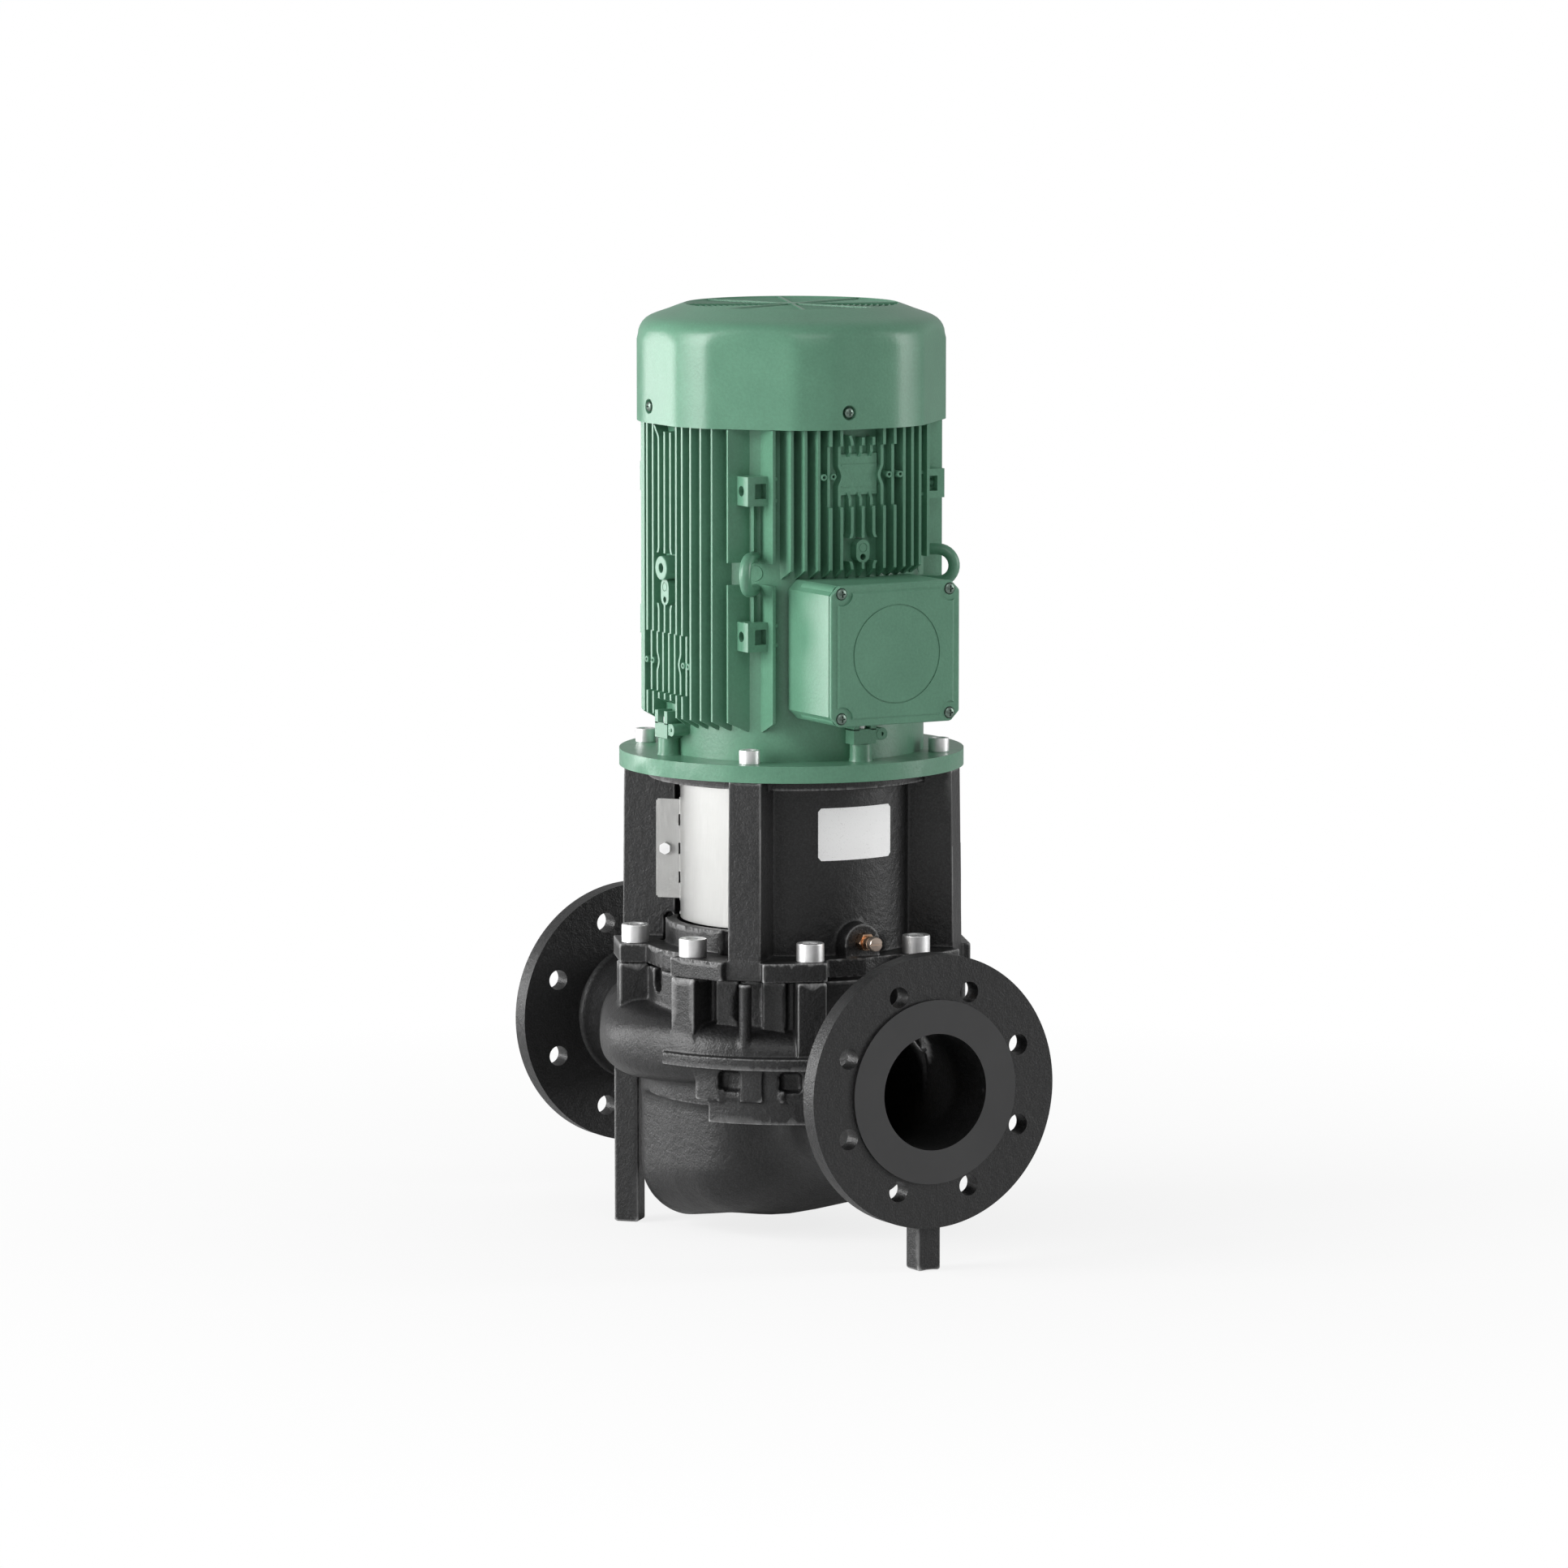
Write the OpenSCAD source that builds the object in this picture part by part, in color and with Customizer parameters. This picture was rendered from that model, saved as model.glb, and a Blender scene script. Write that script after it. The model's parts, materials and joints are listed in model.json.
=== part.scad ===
// Dry rotor in-line pump: a cast casing with two pipe flanges on one line, a cast adapter
// (lantern) that also closes the casing, a split shaft coupling behind sheet guards, a
// mechanical shaft seal, and a fan-cooled standard motor standing upright on top.
// Frame: origin at the middle of the suction flange's bolt circle, on the plate's front, which
// lies raised_face_h behind the sealing face; +X out of that flange along the pipe, +Z up along
// the shaft, which stands suction_arm behind the sealing face.
// Heights below are measured from the pipe axis, and radii from the shaft axis.

/* [Pipe flanges] */
// Bore of both pipe ports
port_bore = 100; // [92:1:104]
// Shaft axis to the suction flange's sealing face
suction_arm = 250; // [240:1:280]
// Shaft axis to the discharge flange's sealing face
discharge_arm = 300; // [285:1:330]
// Outside diameter of both flanges
flange_d = 235; // [225:1:240]
// Thickness of the flange plate behind the sealing face
flange_t = 17.5; // [14:0.5:22]
// Diameter of the raised sealing face
raised_face_d = 158; // [150:1:160]
// Height of the raised sealing face
raised_face_h = 2.5; // [2:0.5:4]
// Bolt circle of both flanges
flange_bolt_circle = 180; // [178:1:190]
// Diameter of each flange bolt hole
flange_hole_d = 18; // [14:1:19]
// Bolt holes in each flange
flange_holes = 8; // [4:4:8]

/* [Pump casing] */
// Height of the pipe axis above the floor
foot_height = 155; // [152:1:175]
// Width of each square foot
foot_w = 22; // [18:1:26]
// Radius at which the two rear feet stand
rear_foot_r = 148; // [144:1:156]
// Sealing face of the suction flange back to its foot's middle
front_foot_setback = 20; // [19:1:30]
// Wall of the cast passages
casing_wall = 8; // [6:0.5:9]
// Wall of the nozzles behind the flanges
nozzle_wall = 9; // [7:0.5:10]
// Radius of the volute's tube outside
volute_tube_r = 36; // [34:0.5:38]
// Radius of the ring that the volute's tube follows
volute_ring_r = 117; // [114:1:120]
// Sideways shift of the volute ring, which makes it widen towards the discharge
volute_shift = 16; // [12:1:18]
// Height of the volute's middle above the pipe axis
volute_lift = 17; // [14:1:20]
// Outer radius of the casing's upper wall
neck_r = 128; // [124:1:129]
// Radius of the corners of the suction chamber
chamber_round_r = 47; // [42:1:50]
// Half distance between the suction chamber's corner centres across the pipe
chamber_half_w = 66; // [60:1:70]
// Depth of the suction chamber's underside below the pipe axis
chamber_depth = 146; // [140:1:148]
// Radius of the impeller chamber
impeller_chamber_r = 100; // [98:1:104]

/* [Adapter] */
// Height of the joint between casing and adapter above the pipe axis
joint_z = 84; // [80:1:90]
// Height of the adapter from that joint to the motor's flange
lantern_h = 171.5; // [170:0.5:180]
// Thickness of the adapter's bottom flange and lugs
lug_t = 16.5; // [14:0.5:20]
// Radius of the adapter's bottom flange between the lugs
lantern_flange_r = 130; // [129:1:134]
// Distance of the flat lug faces from the shaft
lug_face_r = 152; // [151:1:156]
// Outer radius of the adapter's tube
lantern_r = 110; // [108:1:112]
// Wall of the adapter's tube
lantern_wall = 10; // [8:1:11]
// Width of each adapter leg
leg_w = 29; // [26:1:32]
// Reach of the legs from the shaft at their feet
leg_reach = 150; // [149:0.5:151]
// Radius of the circle of casing screws
casing_screw_r = 137; // [136:0.5:138]
// Thread size of the casing screws
casing_screw_d = 16; // [14:1:16]
// Angle over which the adapter's tube is open between two legs, up to their middles
window_angle = 80; // [77:1:88]
// Height of the window's sill above the pipe axis
sill_z = 120.8; // [118:0.2:124]
// Height of the blank plate on the adapter
plate_h = 45.5; // [30:0.5:60]
// Angle over which that plate reaches around the adapter
plate_angle = 38.5; // [24:0.5:44]
// Diameter of the spigot that centres the adapter in the casing
spigot_d = 223.4; // [222:0.1:223.6]

/* [Coupling guards] */
// Radius of the curved guard sheet outside
guard_r = 97; // [94:0.5:98.5]
// Height of the guards' screws and the middle of their flaps above the window's sill
guard_screw_h = 58; // [50:1:64]
// Thickness of the guard sheet
sheet_t = 1.2; // [1:0.1:2]
// Height of the flap screwed to each leg
flap_h = 87; // [70:1:100]
// Outer radius of the flap along the leg
flap_reach = 118.5; // [116:0.5:124]

/* [Shaft and impeller] */
// Diameter of the pump shaft at the seal
pump_shaft_d = 32; // [30:0.5:33]
// Diameter of the impeller
impeller_d = 190; // [180:1:194]
// Width of the impeller's outlet
outlet_w = 28; // [24:1:30]
// Blades of the impeller
impeller_blades = 6; // [5:1:7]
// Outside diameter of the impeller's suction skirt
skirt_d = 89.6; // [86:0.1:89.8]
// Running clearance between skirt and wear ring, on the radius
wear_gap = 0.2; // [0.15:0.05:0.5]
// Outside diameter of the split coupling
coupling_d = 80; // [76:1:90]
// Length of the split coupling
coupling_len = 92; // [88:1:96]

/* [Motor] */
// Outside diameter of the motor's flange
motor_flange_d = 300; // [298:1:306]
// Thickness of the motor's flange
motor_flange_t = 14.5; // [13:0.5:16]
// Bolt circle of the motor's flange
motor_bolt_circle = 265; // [260:1:270]
// Thread size of the motor's flange screws
motor_screw_d = 12; // [10:1:12]
// Diameter of the motor's centring spigot
motor_spigot_d = 230; // [228:0.5:230]
// Diameter of the motor's shaft end
motor_shaft_d = 38; // [36:0.5:38]
// Length of the motor's shaft end below the flange face
motor_shaft_len = 80; // [76:1:82]
// Outer radius of the motor's frame tube
frame_r = 115; // [114:0.5:117]
// Wall of the motor's frame tube
frame_wall = 14; // [12:1:15]
// Height of the motor's frame above its flange
frame_h = 290; // [288:1:296]
// Reach of the cooling fins beyond the frame's tube
fin_h = 15; // [13.5:0.5:15.5]
// Flat limit of the fins across each side, beyond the frame's tube
fin_flat_h = 10.5; // [9:0.5:12]
// Spacing of the cooling fins
fin_pitch = 10.5; // [10:0.1:10.8]
// Thickness of each cooling fin
fin_t = 3; // [2:0.2:4]
// Length of the stator's iron core
core_len = 120; // [100:5:130]
// Depth of the stator's iron core from the frame in to the air gap
core_depth = 41; // [38:0.5:46]
// Air gap between rotor and stator, on the radius
air_gap = 0.5; // [0.3:0.1:1]

/* [Fan and cover] */
// Reach of the fan cover's round sides beyond the motor's frame tube
cover_reach = 19.5; // [19:0.5:22]
// Depth to which the flats on the four diagonals cut into that round
cover_flat_cut = 5.5; // [3.5:0.5:6]
// Wall of the fan cover
cover_wall = 2.5; // [2:0.1:3]
// Height of the fan cover
cover_h = 100.7; // [98:0.5:106]
// Radius of the air grille in the cover's top
grille_r = 93; // [88:1:96]
// Gap between the cooling fan's rim and the cover's wall
fan_gap = 34; // [31:1:40]
// Blades of the cooling fan
fan_blades = 7; // [5:1:9]

/* [Terminal box] */
// Width of the terminal box across the motor
box_w = 125; // [118:1:130]
// Height of the terminal box
box_h = 119.5; // [114:0.5:122]
// Depth of the box from the motor's frame tube to the lid's outer face
box_depth = 68; // [64:1:76]
// Height of the box's middle above the pipe axis
box_z = 368; // [366:1:372]
// Wall of the terminal box
box_wall = 5; // [4:0.5:6]
// Diameter of the two cable entries in the box's far side
entry_d = 32; // [25:1:32]
// Thickness of the lid's edge
lid_t = 6; // [5:0.5:8]

/* [Hidden] */
$fn = 96;

// Clearances and small allowances
cut = 1; // overshoot of a cut past the face that it opens
slip = 0.15; // radial clearance of a piece that slides into its seat
seat = 0.02; // radial clearance of a bearing or coupling bore on its shaft
hole_play = 0.75; // radial clearance of a screw in a through hole
joint_gap = 3; // visible groove between casing and adapter

// Colours
iron = "#202224";
green = "#4f8a68";
steel = "#c9cbcd";
machined = "#8f9296";
copper = "#b87333";

// Directions
leg_angles = [45, 135, 225, 315];
lug_turn = 22.5; // each screw stands this far to either side of a leg
lug_half = 12.6; // half width of a casing column
lug_run = 42.7; // length of a lug's face from its screw towards the leg
side_angles = [0, 90, 180, 270];
window_sides = [90, 270];

// Casing heights and radii
port_r = port_bore / 2;
nozzle_r = port_r + nozzle_wall;
nozzle_neck = 55; // straight neck behind each flange
volute_bore_r = volute_tube_r - casing_wall;
volute_turn = 240; // direction in which the volute reaches furthest
volute_at = [volute_shift * cos(volute_turn), volute_shift * sin(volute_turn), volute_lift];
casing_top_z = joint_z - joint_gap;
seat_r = spigot_d / 2 + slip;
joint_neck_r = seat_r + 6; // neck of the casing inside the joint ring
joint_ring_w = 4;
roof_z = joint_z - 30; // roof of the impeller chamber
floor_z = -6; // floor of the impeller chamber
floor_t = 16; // floor between impeller and suction chamber
chamber_top_z = floor_z - floor_t;
chamber_x = -55; // middle of the suction chamber's rear corners
chamber_front_x = 18; // middle of the suction chamber's front corners
chamber_corner_z = chamber_round_r - chamber_depth;
chamber_slope = 10; // slope of the chamber's underside along the pipe
chamber_rise = (chamber_front_x - chamber_x) * tan(chamber_slope);
chamber_plan_r = 136;
bend_step = 0.4; // step between surfaces that would otherwise only touch
eye_r = skirt_d / 2 + wear_gap + 7;
ledge_z = 8;
ledge_t = 10;
ledge_r = 159;
column_foot_z = ledge_z + ledge_t - 2;
rib_r = 148;

// Adapter heights
lantern_top_z = joint_z + lantern_h;
lug_top_z = joint_z + lug_t;
window_top_z = lantern_top_z - 10;
lantern_bore_r = lantern_r - lantern_wall;
top_ring_r = motor_spigot_d / 2 + 10;
register_h = 4; // depth of the motor's centring register
cover_plate_t = 12;
seal_hub_r = 45;
seal_hub_top_z = joint_z + 16;
seal_chamber_r = 30;
seat_floor_z = roof_z + 18;
seat_bore_r = 24;
seat_h = 10;
shaft_hole_r = pump_shaft_d / 2 + 2;
guard_screw_z = sill_z + guard_screw_h;
slot_pitch = 25.2; // slots along the guard's bends
slot_h = 10;
plate_z = 206; // middle of the blank plate
vent_face_r = 126;
vent_z = 114;
vent_boss_r = 17;
vent_thread_r = 6;

// Shaft heights
pump_shaft_r = pump_shaft_d / 2;
hub_seat_r = pump_shaft_r - 2;
shroud_t = 4;
impeller_r = impeller_d / 2;
impeller_low_z = floor_z + 4;
impeller_top_z = impeller_low_z + 2 * shroud_t + outlet_w;
shoulder_z = impeller_top_z + 4;
washer_t = 4;
nut_h = 14;
nut_r = 17;
stud_r = 9;
coupling_r = coupling_d / 2;
motor_shaft_r = motor_shaft_d / 2;
motor_shaft_low_z = lantern_top_z - motor_shaft_len;
pump_shaft_top_z = motor_shaft_low_z - 3;
coupling_low_z = pump_shaft_top_z - coupling_len / 2 + 2;
coupling_split = 1; // half gap between the coupling halves

// Motor heights
motor_flange_top_z = lantern_top_z + motor_flange_t;
frame_top_z = motor_flange_top_z + frame_h;
frame_bore_r = frame_r - frame_wall;
fin_reach = frame_r + fin_h;
fin_flat = frame_r + fin_flat_h;
bearing_shaft_r = 20;
drive_bearing_z = lantern_top_z + 17.5;
drive_bearing_h = 23;
drive_bearing_r = 45;
fan_bearing_z = frame_top_z - 34;
fan_bearing_h = 18;
fan_bearing_r = 40;
core_low_z = (drive_bearing_z + fan_bearing_z + drive_bearing_h - core_len) / 2;
core_high_z = core_low_z + core_len;
rotor_r = frame_bore_r - core_depth - air_gap;
core_shaft_r = 24;
end_ring_h = 10;
winding_h = 32;
cover_low_z = frame_top_z - 4;
cover_top_z = cover_low_z + cover_h;
cover_r = frame_r + cover_reach;
cover_flat = cover_r - cover_flat_cut;
fan_r = cover_r - cover_wall - fan_gap;
shaft_end_z = cover_low_z + 62;
fan_low_z = frame_top_z + 12;
fan_hub_h = 38;
fin_root_r = frame_r - 6;
fin_low_z = motor_flange_top_z + 34;
fin_root_drop = 8.5;
fin_high_z = cover_low_z - 0.4;
fin_count = 6; // fins to each side of a side's middle fin
outer_fin = 76; // offset of the last fin on each side
block_w = 22;
block_corner = (frame_r + 18.4) * cos(45); // outer edges of a square lug on a diagonal
block_h = 25;
block_heights = [366, 491];
diagonal_rib_r = frame_r + 9;
diagonal_rib_t = 2.6;
eye_z = 432;
eye_ring_r = 14;
eye_rod_r = 5;
eye_middle_r = frame_r + 17;
eye_gap = 19; // height over which the fins beside an eye are left out
eye_half_h = eye_ring_r + eye_rod_r + 0.6; // height left free of ribs above and below an eye's middle
eye_seat_r = 7;
eye_seat_depth = 9;
plate_zone_h = 52; // height of the zone where a plate can be screwed over the fins
plate_zone_w = 66;
plate_zone_drop = 4.2; // the fins are this much lower there
front_zone_z = 515.5;
left_zone_z = 349.5;
zone_bosses = [-37.5, -27.4, 27.4, 37.5];
pad_h = 30; // plain pad between the middle fins of the front
pad_w = 36;
front_boss_z = 451;
left_boss_z = 411;
round_boss_z = 432;
round_boss_r = 10.5;
frame_lug_r = frame_r + 6.5;
frame_lug_reach = frame_lug_r + 7.5;
frame_lug_w = 22;
frame_screw_head_r = 4.5;
frame_lug_h = 12;
frame_post_r = 9.5;
frame_lug_z = motor_flange_top_z + 15;

// Screw lengths below their seats beyond the plate that they clamp
casing_screw_grip = 29;
motor_screw_grip = 28;
casing_thread_depth = 32;

// Terminal box
box_low_z = box_z - box_h / 2;
box_corner = 8;
gasket_t = 1;
box_face_r = frame_r + box_depth;
box_back_r = frame_r + 9; // inner face of the box's floor
lid_back_r = box_face_r - lid_t;
box_front_r = lid_back_r - gasket_t;
lid_screw_y = box_w / 2 - 9.5;
lid_screw_z = box_h / 2 - 6.5;
entry_r = entry_d / 2;
entry_x = (box_back_r + box_front_r) / 2;
entry_half_pitch = box_h / 4 - 2;

// Points at distance d along direction a, moved t sideways
function at(a, d, t = 0) = [d * cos(a) - t * sin(a), d * sin(a) + t * cos(a)];

// Moves the shaft's frame to the part's frame
module from_suction_flange() {
    translate([raised_face_h - suction_arm, 0, 0]) children();
}

// Upright cylinder between two heights
module post(r, z0, z1) {
    translate([0, 0, z0]) cylinder(r = r, h = z1 - z0);
}

// Upright tube between two heights
module ring(r_out, r_in, z0, z1) {
    difference() {
        post(r_out, z0, z1);
        post(r_in, z0 - cut, z1 + cut);
    }
}

// Part of a tube over an angle
module sector(r_out, r_in, z0, z1, from, span) {
    rotate([0, 0, from])
        rotate_extrude(angle = span) translate([r_in, z0]) square([r_out - r_in, z1 - z0]);
}

// Block that reaches radially from r0 to r1, centred across
module radial_block(r0, r1, w, z0, z1) {
    translate([r0, -w / 2, z0]) cube([r1 - r0, w, z1 - z0]);
}

// Socket head cap screw standing on its head's seat, shank down
module cap_screw(d, len) {
    difference() {
        union() {
            cylinder(d = 1.5 * d, h = d);
            translate([0, 0, -len]) cylinder(d = d, h = len + cut);
        }
        translate([0, 0, 0.5 * d]) cylinder(d = 0.9 * d, h = d, $fn = 6);
    }
}

// Pan head screw with a cross recess, shank down
module pan_screw(head_d, d, len) {
    difference() {
        union() {
            cylinder(d = head_d, h = 0.4 * head_d);
            translate([0, 0, -len]) cylinder(d = d, h = len + cut);
        }
        for (a = [0, 90])
            rotate([0, 0, a]) translate([-0.3 * head_d, -0.07 * head_d, 0.2 * head_d])
                cube([0.6 * head_d, 0.14 * head_d, head_d]);
    }
}

// Flange plate with its raised face, facing along +Z at height 0
module port_flange() {
    translate([0, 0, -raised_face_h]) cylinder(d = raised_face_d, h = raised_face_h);
    translate([0, 0, -raised_face_h - flange_t]) cylinder(d = flange_d, h = flange_t);
    translate([0, 0, -raised_face_h - flange_t - nozzle_neck])
        cylinder(r = nozzle_r, h = nozzle_neck + cut);
}

module port_flange_holes() {
    for (i = [0 : flange_holes - 1])
        rotate([0, 0, (i + 0.5) * 360 / flange_holes])
            translate([flange_bolt_circle / 2, 0, -raised_face_h - flange_t - cut])
                cylinder(d = flange_hole_d, h = flange_t + raised_face_h + 2 * cut);
}

// Turns +Z to face out of the suction port and out of the discharge port
module at_suction() {
    translate([suction_arm, 0, 0]) rotate([0, 90, 0]) children();
}

module at_discharge() {
    translate([-discharge_arm, 0, 0]) rotate([0, -90, 0]) children();
}

// Cone from a bend's middle to another middle, with a ball at its far end
module passage(from, r_from, to, r_to) {
    run = to - from;
    translate(from) rotate([0, acos(run[2] / norm(run)), atan2(run[1], run[0])])
        cylinder(r1 = r_from, r2 = r_to, h = norm(run));
    translate(to) sphere(r = r_to + bend_step);
}

// Suction chamber under the impeller seen from its end and from its side
module chamber_end(inset) {
    r = chamber_round_r - inset;
    for (y = [-chamber_half_w, chamber_half_w])
        translate([y, chamber_corner_z]) circle(r = r);
    translate([-chamber_half_w, -chamber_depth + inset])
        square([2 * chamber_half_w, chamber_depth + chamber_top_z + 10 - inset]);
    translate([-chamber_half_w - r, chamber_corner_z])
        square([2 * (chamber_half_w + r), chamber_top_z + 10 - chamber_corner_z]);
}

module chamber_side(inset) {
    r = chamber_round_r - inset;
    top = chamber_top_z + 2 - inset;
    translate([chamber_x, chamber_corner_z]) circle(r = r);
    translate([chamber_front_x, chamber_corner_z + chamber_rise]) circle(r = r);
    polygon([
        [chamber_x - r, chamber_corner_z],
        [chamber_x - r, top],
        [chamber_front_x + r, top],
        [chamber_front_x + r, chamber_corner_z + chamber_rise],
        [chamber_front_x + r * sin(chamber_slope), chamber_corner_z + chamber_rise - r * cos(chamber_slope)],
        [chamber_x + r * sin(chamber_slope), chamber_corner_z - r * cos(chamber_slope)]
    ]);
}

// Suction chamber, smaller all round by inset
module chamber_body(inset) {
    intersection() {
        rotate([90, 0, 90]) translate([0, 0, -180]) linear_extrude(360) chamber_end(inset);
        rotate([90, 0, 0]) translate([0, 0, -180]) linear_extrude(360) chamber_side(inset);
        translate([0, 0, -chamber_depth - 10])
            cylinder(r = chamber_plan_r - inset, h = chamber_depth + 10);
    }
}

// Suction passage from the flange down into the chamber
module suction_body(inset) {
    bend = [suction_arm - nozzle_neck - flange_t, 0, 0];
    translate(bend) sphere(r = nozzle_r - inset - bend_step);
    passage(bend, nozzle_r - inset - 2 * bend_step, [-20, 0, chamber_corner_z + 10],
        chamber_round_r - inset - 3);
}

// Discharge passage from the wide end of the volute to the flange
module discharge_body(inset) {
    bend = [-discharge_arm + nozzle_neck + flange_t, 0, 0];
    start_r = nozzle_r - inset - 2 * bend_step;
    translate(bend) sphere(r = nozzle_r - inset - bend_step);
    passage(bend, start_r, [-volute_ring_r + 20, -62, volute_lift + 1], volute_tube_r + 2 - inset);
    passage(bend, start_r, [-volute_ring_r + 12, 4, volute_lift - 2], volute_tube_r + 5 - inset);
}

module volute_ring(r) {
    translate(volute_at) rotate_extrude() translate([volute_ring_r, 0]) circle(r = r);
}

// Columns under the adapter's lugs, one at each casing screw
module casing_columns() {
    for (leg = leg_angles) {
        for (side = [-1, 1])
            rotate([0, 0, leg + side * lug_turn])
                radial_block(neck_r - 12, lug_face_r, 2 * lug_half, column_foot_z, casing_top_z);
        rotate([0, 0, leg]) radial_block(neck_r - 12, neck_r + 2, 60, 0, casing_top_z);
    }
}

module rear_foot(angle) {
    rotate([0, 0, angle]) translate([rear_foot_r - foot_w / 2, -foot_w / 2, -foot_height])
        cube([foot_w, foot_w, foot_height + volute_lift]);
}

module casing_feet() {
    rear_foot(135);
    rear_foot(225);
    translate([suction_arm - front_foot_setback - foot_w / 2, -foot_w / 2, -foot_height])
        cube([foot_w, foot_w, foot_height - port_r - 2]);
}

// Ledge with its ribs, and the step of the chamber below them
module casing_ledge() {
    sector(ledge_r, neck_r - 10, ledge_z, ledge_z + ledge_t, -74, 194);
    for (a = [-55, -37, 37, 55])
        rotate([0, 0, a]) radial_block(neck_r - 10, ledge_r - 4, 12, -30, ledge_z + cut);
    sector(rib_r, neck_r - 14, -40, -14, -58, 116);
}

module casing_outside() {
    at_suction() port_flange();
    at_discharge() port_flange();
    volute_ring(volute_tube_r);
    ring(neck_r, impeller_chamber_r - 2, chamber_top_z - 12, casing_top_z);
    ring(joint_neck_r, seat_r, casing_top_z - cut, joint_z);
    post(impeller_chamber_r + 4, chamber_top_z + 0.5, floor_z);
    chamber_body(0);
    suction_body(0);
    discharge_body(0);
    casing_columns();
    casing_feet();
    casing_ledge();
    rotate([0, 0, 315]) translate([146, 0, 0]) post(5.5, ledge_z + ledge_t / 2, joint_z - 0.3);
}

module casing_inside() {
    volute_ring(volute_bore_r);
    difference() {
        chamber_body(casing_wall);
        post(eye_r + 60, chamber_top_z, chamber_top_z + 60);
    }
    difference() {
        suction_body(nozzle_wall);
        post(impeller_chamber_r + 4, chamber_top_z, joint_z);
    }
    discharge_body(nozzle_wall);
    at_suction() translate([0, 0, -nozzle_neck - flange_t - raised_face_h - 10])
        cylinder(r = port_r, h = nozzle_neck + flange_t + raised_face_h + 10 + cut);
    at_discharge() translate([0, 0, -nozzle_neck - flange_t - raised_face_h - 10])
        cylinder(r = port_r, h = nozzle_neck + flange_t + raised_face_h + 10 + cut);
    post(impeller_chamber_r, floor_z, roof_z + cut);
    post(seat_r, roof_z, joint_z + cut);
    post(eye_r, chamber_top_z - 12, floor_z + cut);
}

module casing_screw_places() {
    for (leg = leg_angles, side = [-1, 1])
        rotate([0, 0, leg + side * lug_turn]) translate([casing_screw_r, 0, 0]) children();
}

module pump_casing() {
    color(iron) from_suction_flange() difference() {
        casing_outside();
        casing_inside();
        at_suction() port_flange_holes();
        at_discharge() port_flange_holes();
        casing_screw_places()
            post(casing_screw_d / 2 + slip, joint_z - casing_thread_depth, joint_z + cut);
        for (leg = leg_angles)
            rotate([0, 0, leg]) radial_block(119, lug_face_r - 12, 21.6, 30, joint_z + cut);
        for (side = window_sides)
            rotate([0, 0, side]) radial_block(119, neck_r + 12, 18, joint_z - 23, joint_z + cut);
        translate([0, 0, -foot_height - 50]) cylinder(r = 400, h = 50);
    }
}

module casing_wear_ring() {
    color(copper) from_suction_flange()
        ring(eye_r - seat, skirt_d / 2 + wear_gap, chamber_top_z, floor_z);
}

// Adapter: outline of the foot around one leg, with the leg along +X
module lantern_lug_outline() {
    polygon([
        at(-lug_turn, lantern_flange_r - 12, -lug_half),
        at(-lug_turn, lug_face_r, -lug_half),
        at(-lug_turn, lug_face_r, lug_run),
        [leg_reach, -leg_w / 2 - 0.7],
        [leg_reach, leg_w / 2 + 0.7],
        at(lug_turn, lug_face_r, -lug_run),
        at(lug_turn, lug_face_r, lug_half),
        at(lug_turn, lantern_flange_r - 12, lug_half),
        [lantern_bore_r, 0]
    ]);
}

// Leg seen from its side, slightly wider at its foot
module lantern_leg() {
    rotate([90, 0, 0]) translate([0, 0, -leg_w / 2]) linear_extrude(leg_w)
        polygon([
            [lantern_bore_r + 2, joint_z + 2],
            [leg_reach, joint_z + 2],
            [leg_reach - 2.5, lantern_top_z],
            [lantern_bore_r + 2, lantern_top_z]
        ]);
}

// Section of the adapter's tube with the casing cover and the seal's hub
module lantern_section() {
    polygon([
        [seal_chamber_r, roof_z],
        [spigot_d / 2, roof_z],
        [spigot_d / 2, joint_z + 6],
        [lantern_r, joint_z + 6],
        [lantern_r, window_top_z],
        [top_ring_r, window_top_z],
        [top_ring_r, lantern_top_z],
        [lantern_bore_r, lantern_top_z],
        [lantern_bore_r, roof_z + cover_plate_t],
        [seal_hub_r, roof_z + cover_plate_t],
        [seal_hub_r, seal_hub_top_z],
        [shaft_hole_r, seal_hub_top_z],
        [shaft_hole_r, seat_floor_z + seat_h],
        [seat_bore_r, seat_floor_z + seat_h],
        [seat_bore_r, seat_floor_z],
        [seal_chamber_r, seat_floor_z]
    ]);
}

module motor_screw_places() {
    for (leg = leg_angles)
        rotate([0, 0, leg]) translate([motor_bolt_circle / 2, 0, 0]) children();
}

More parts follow.
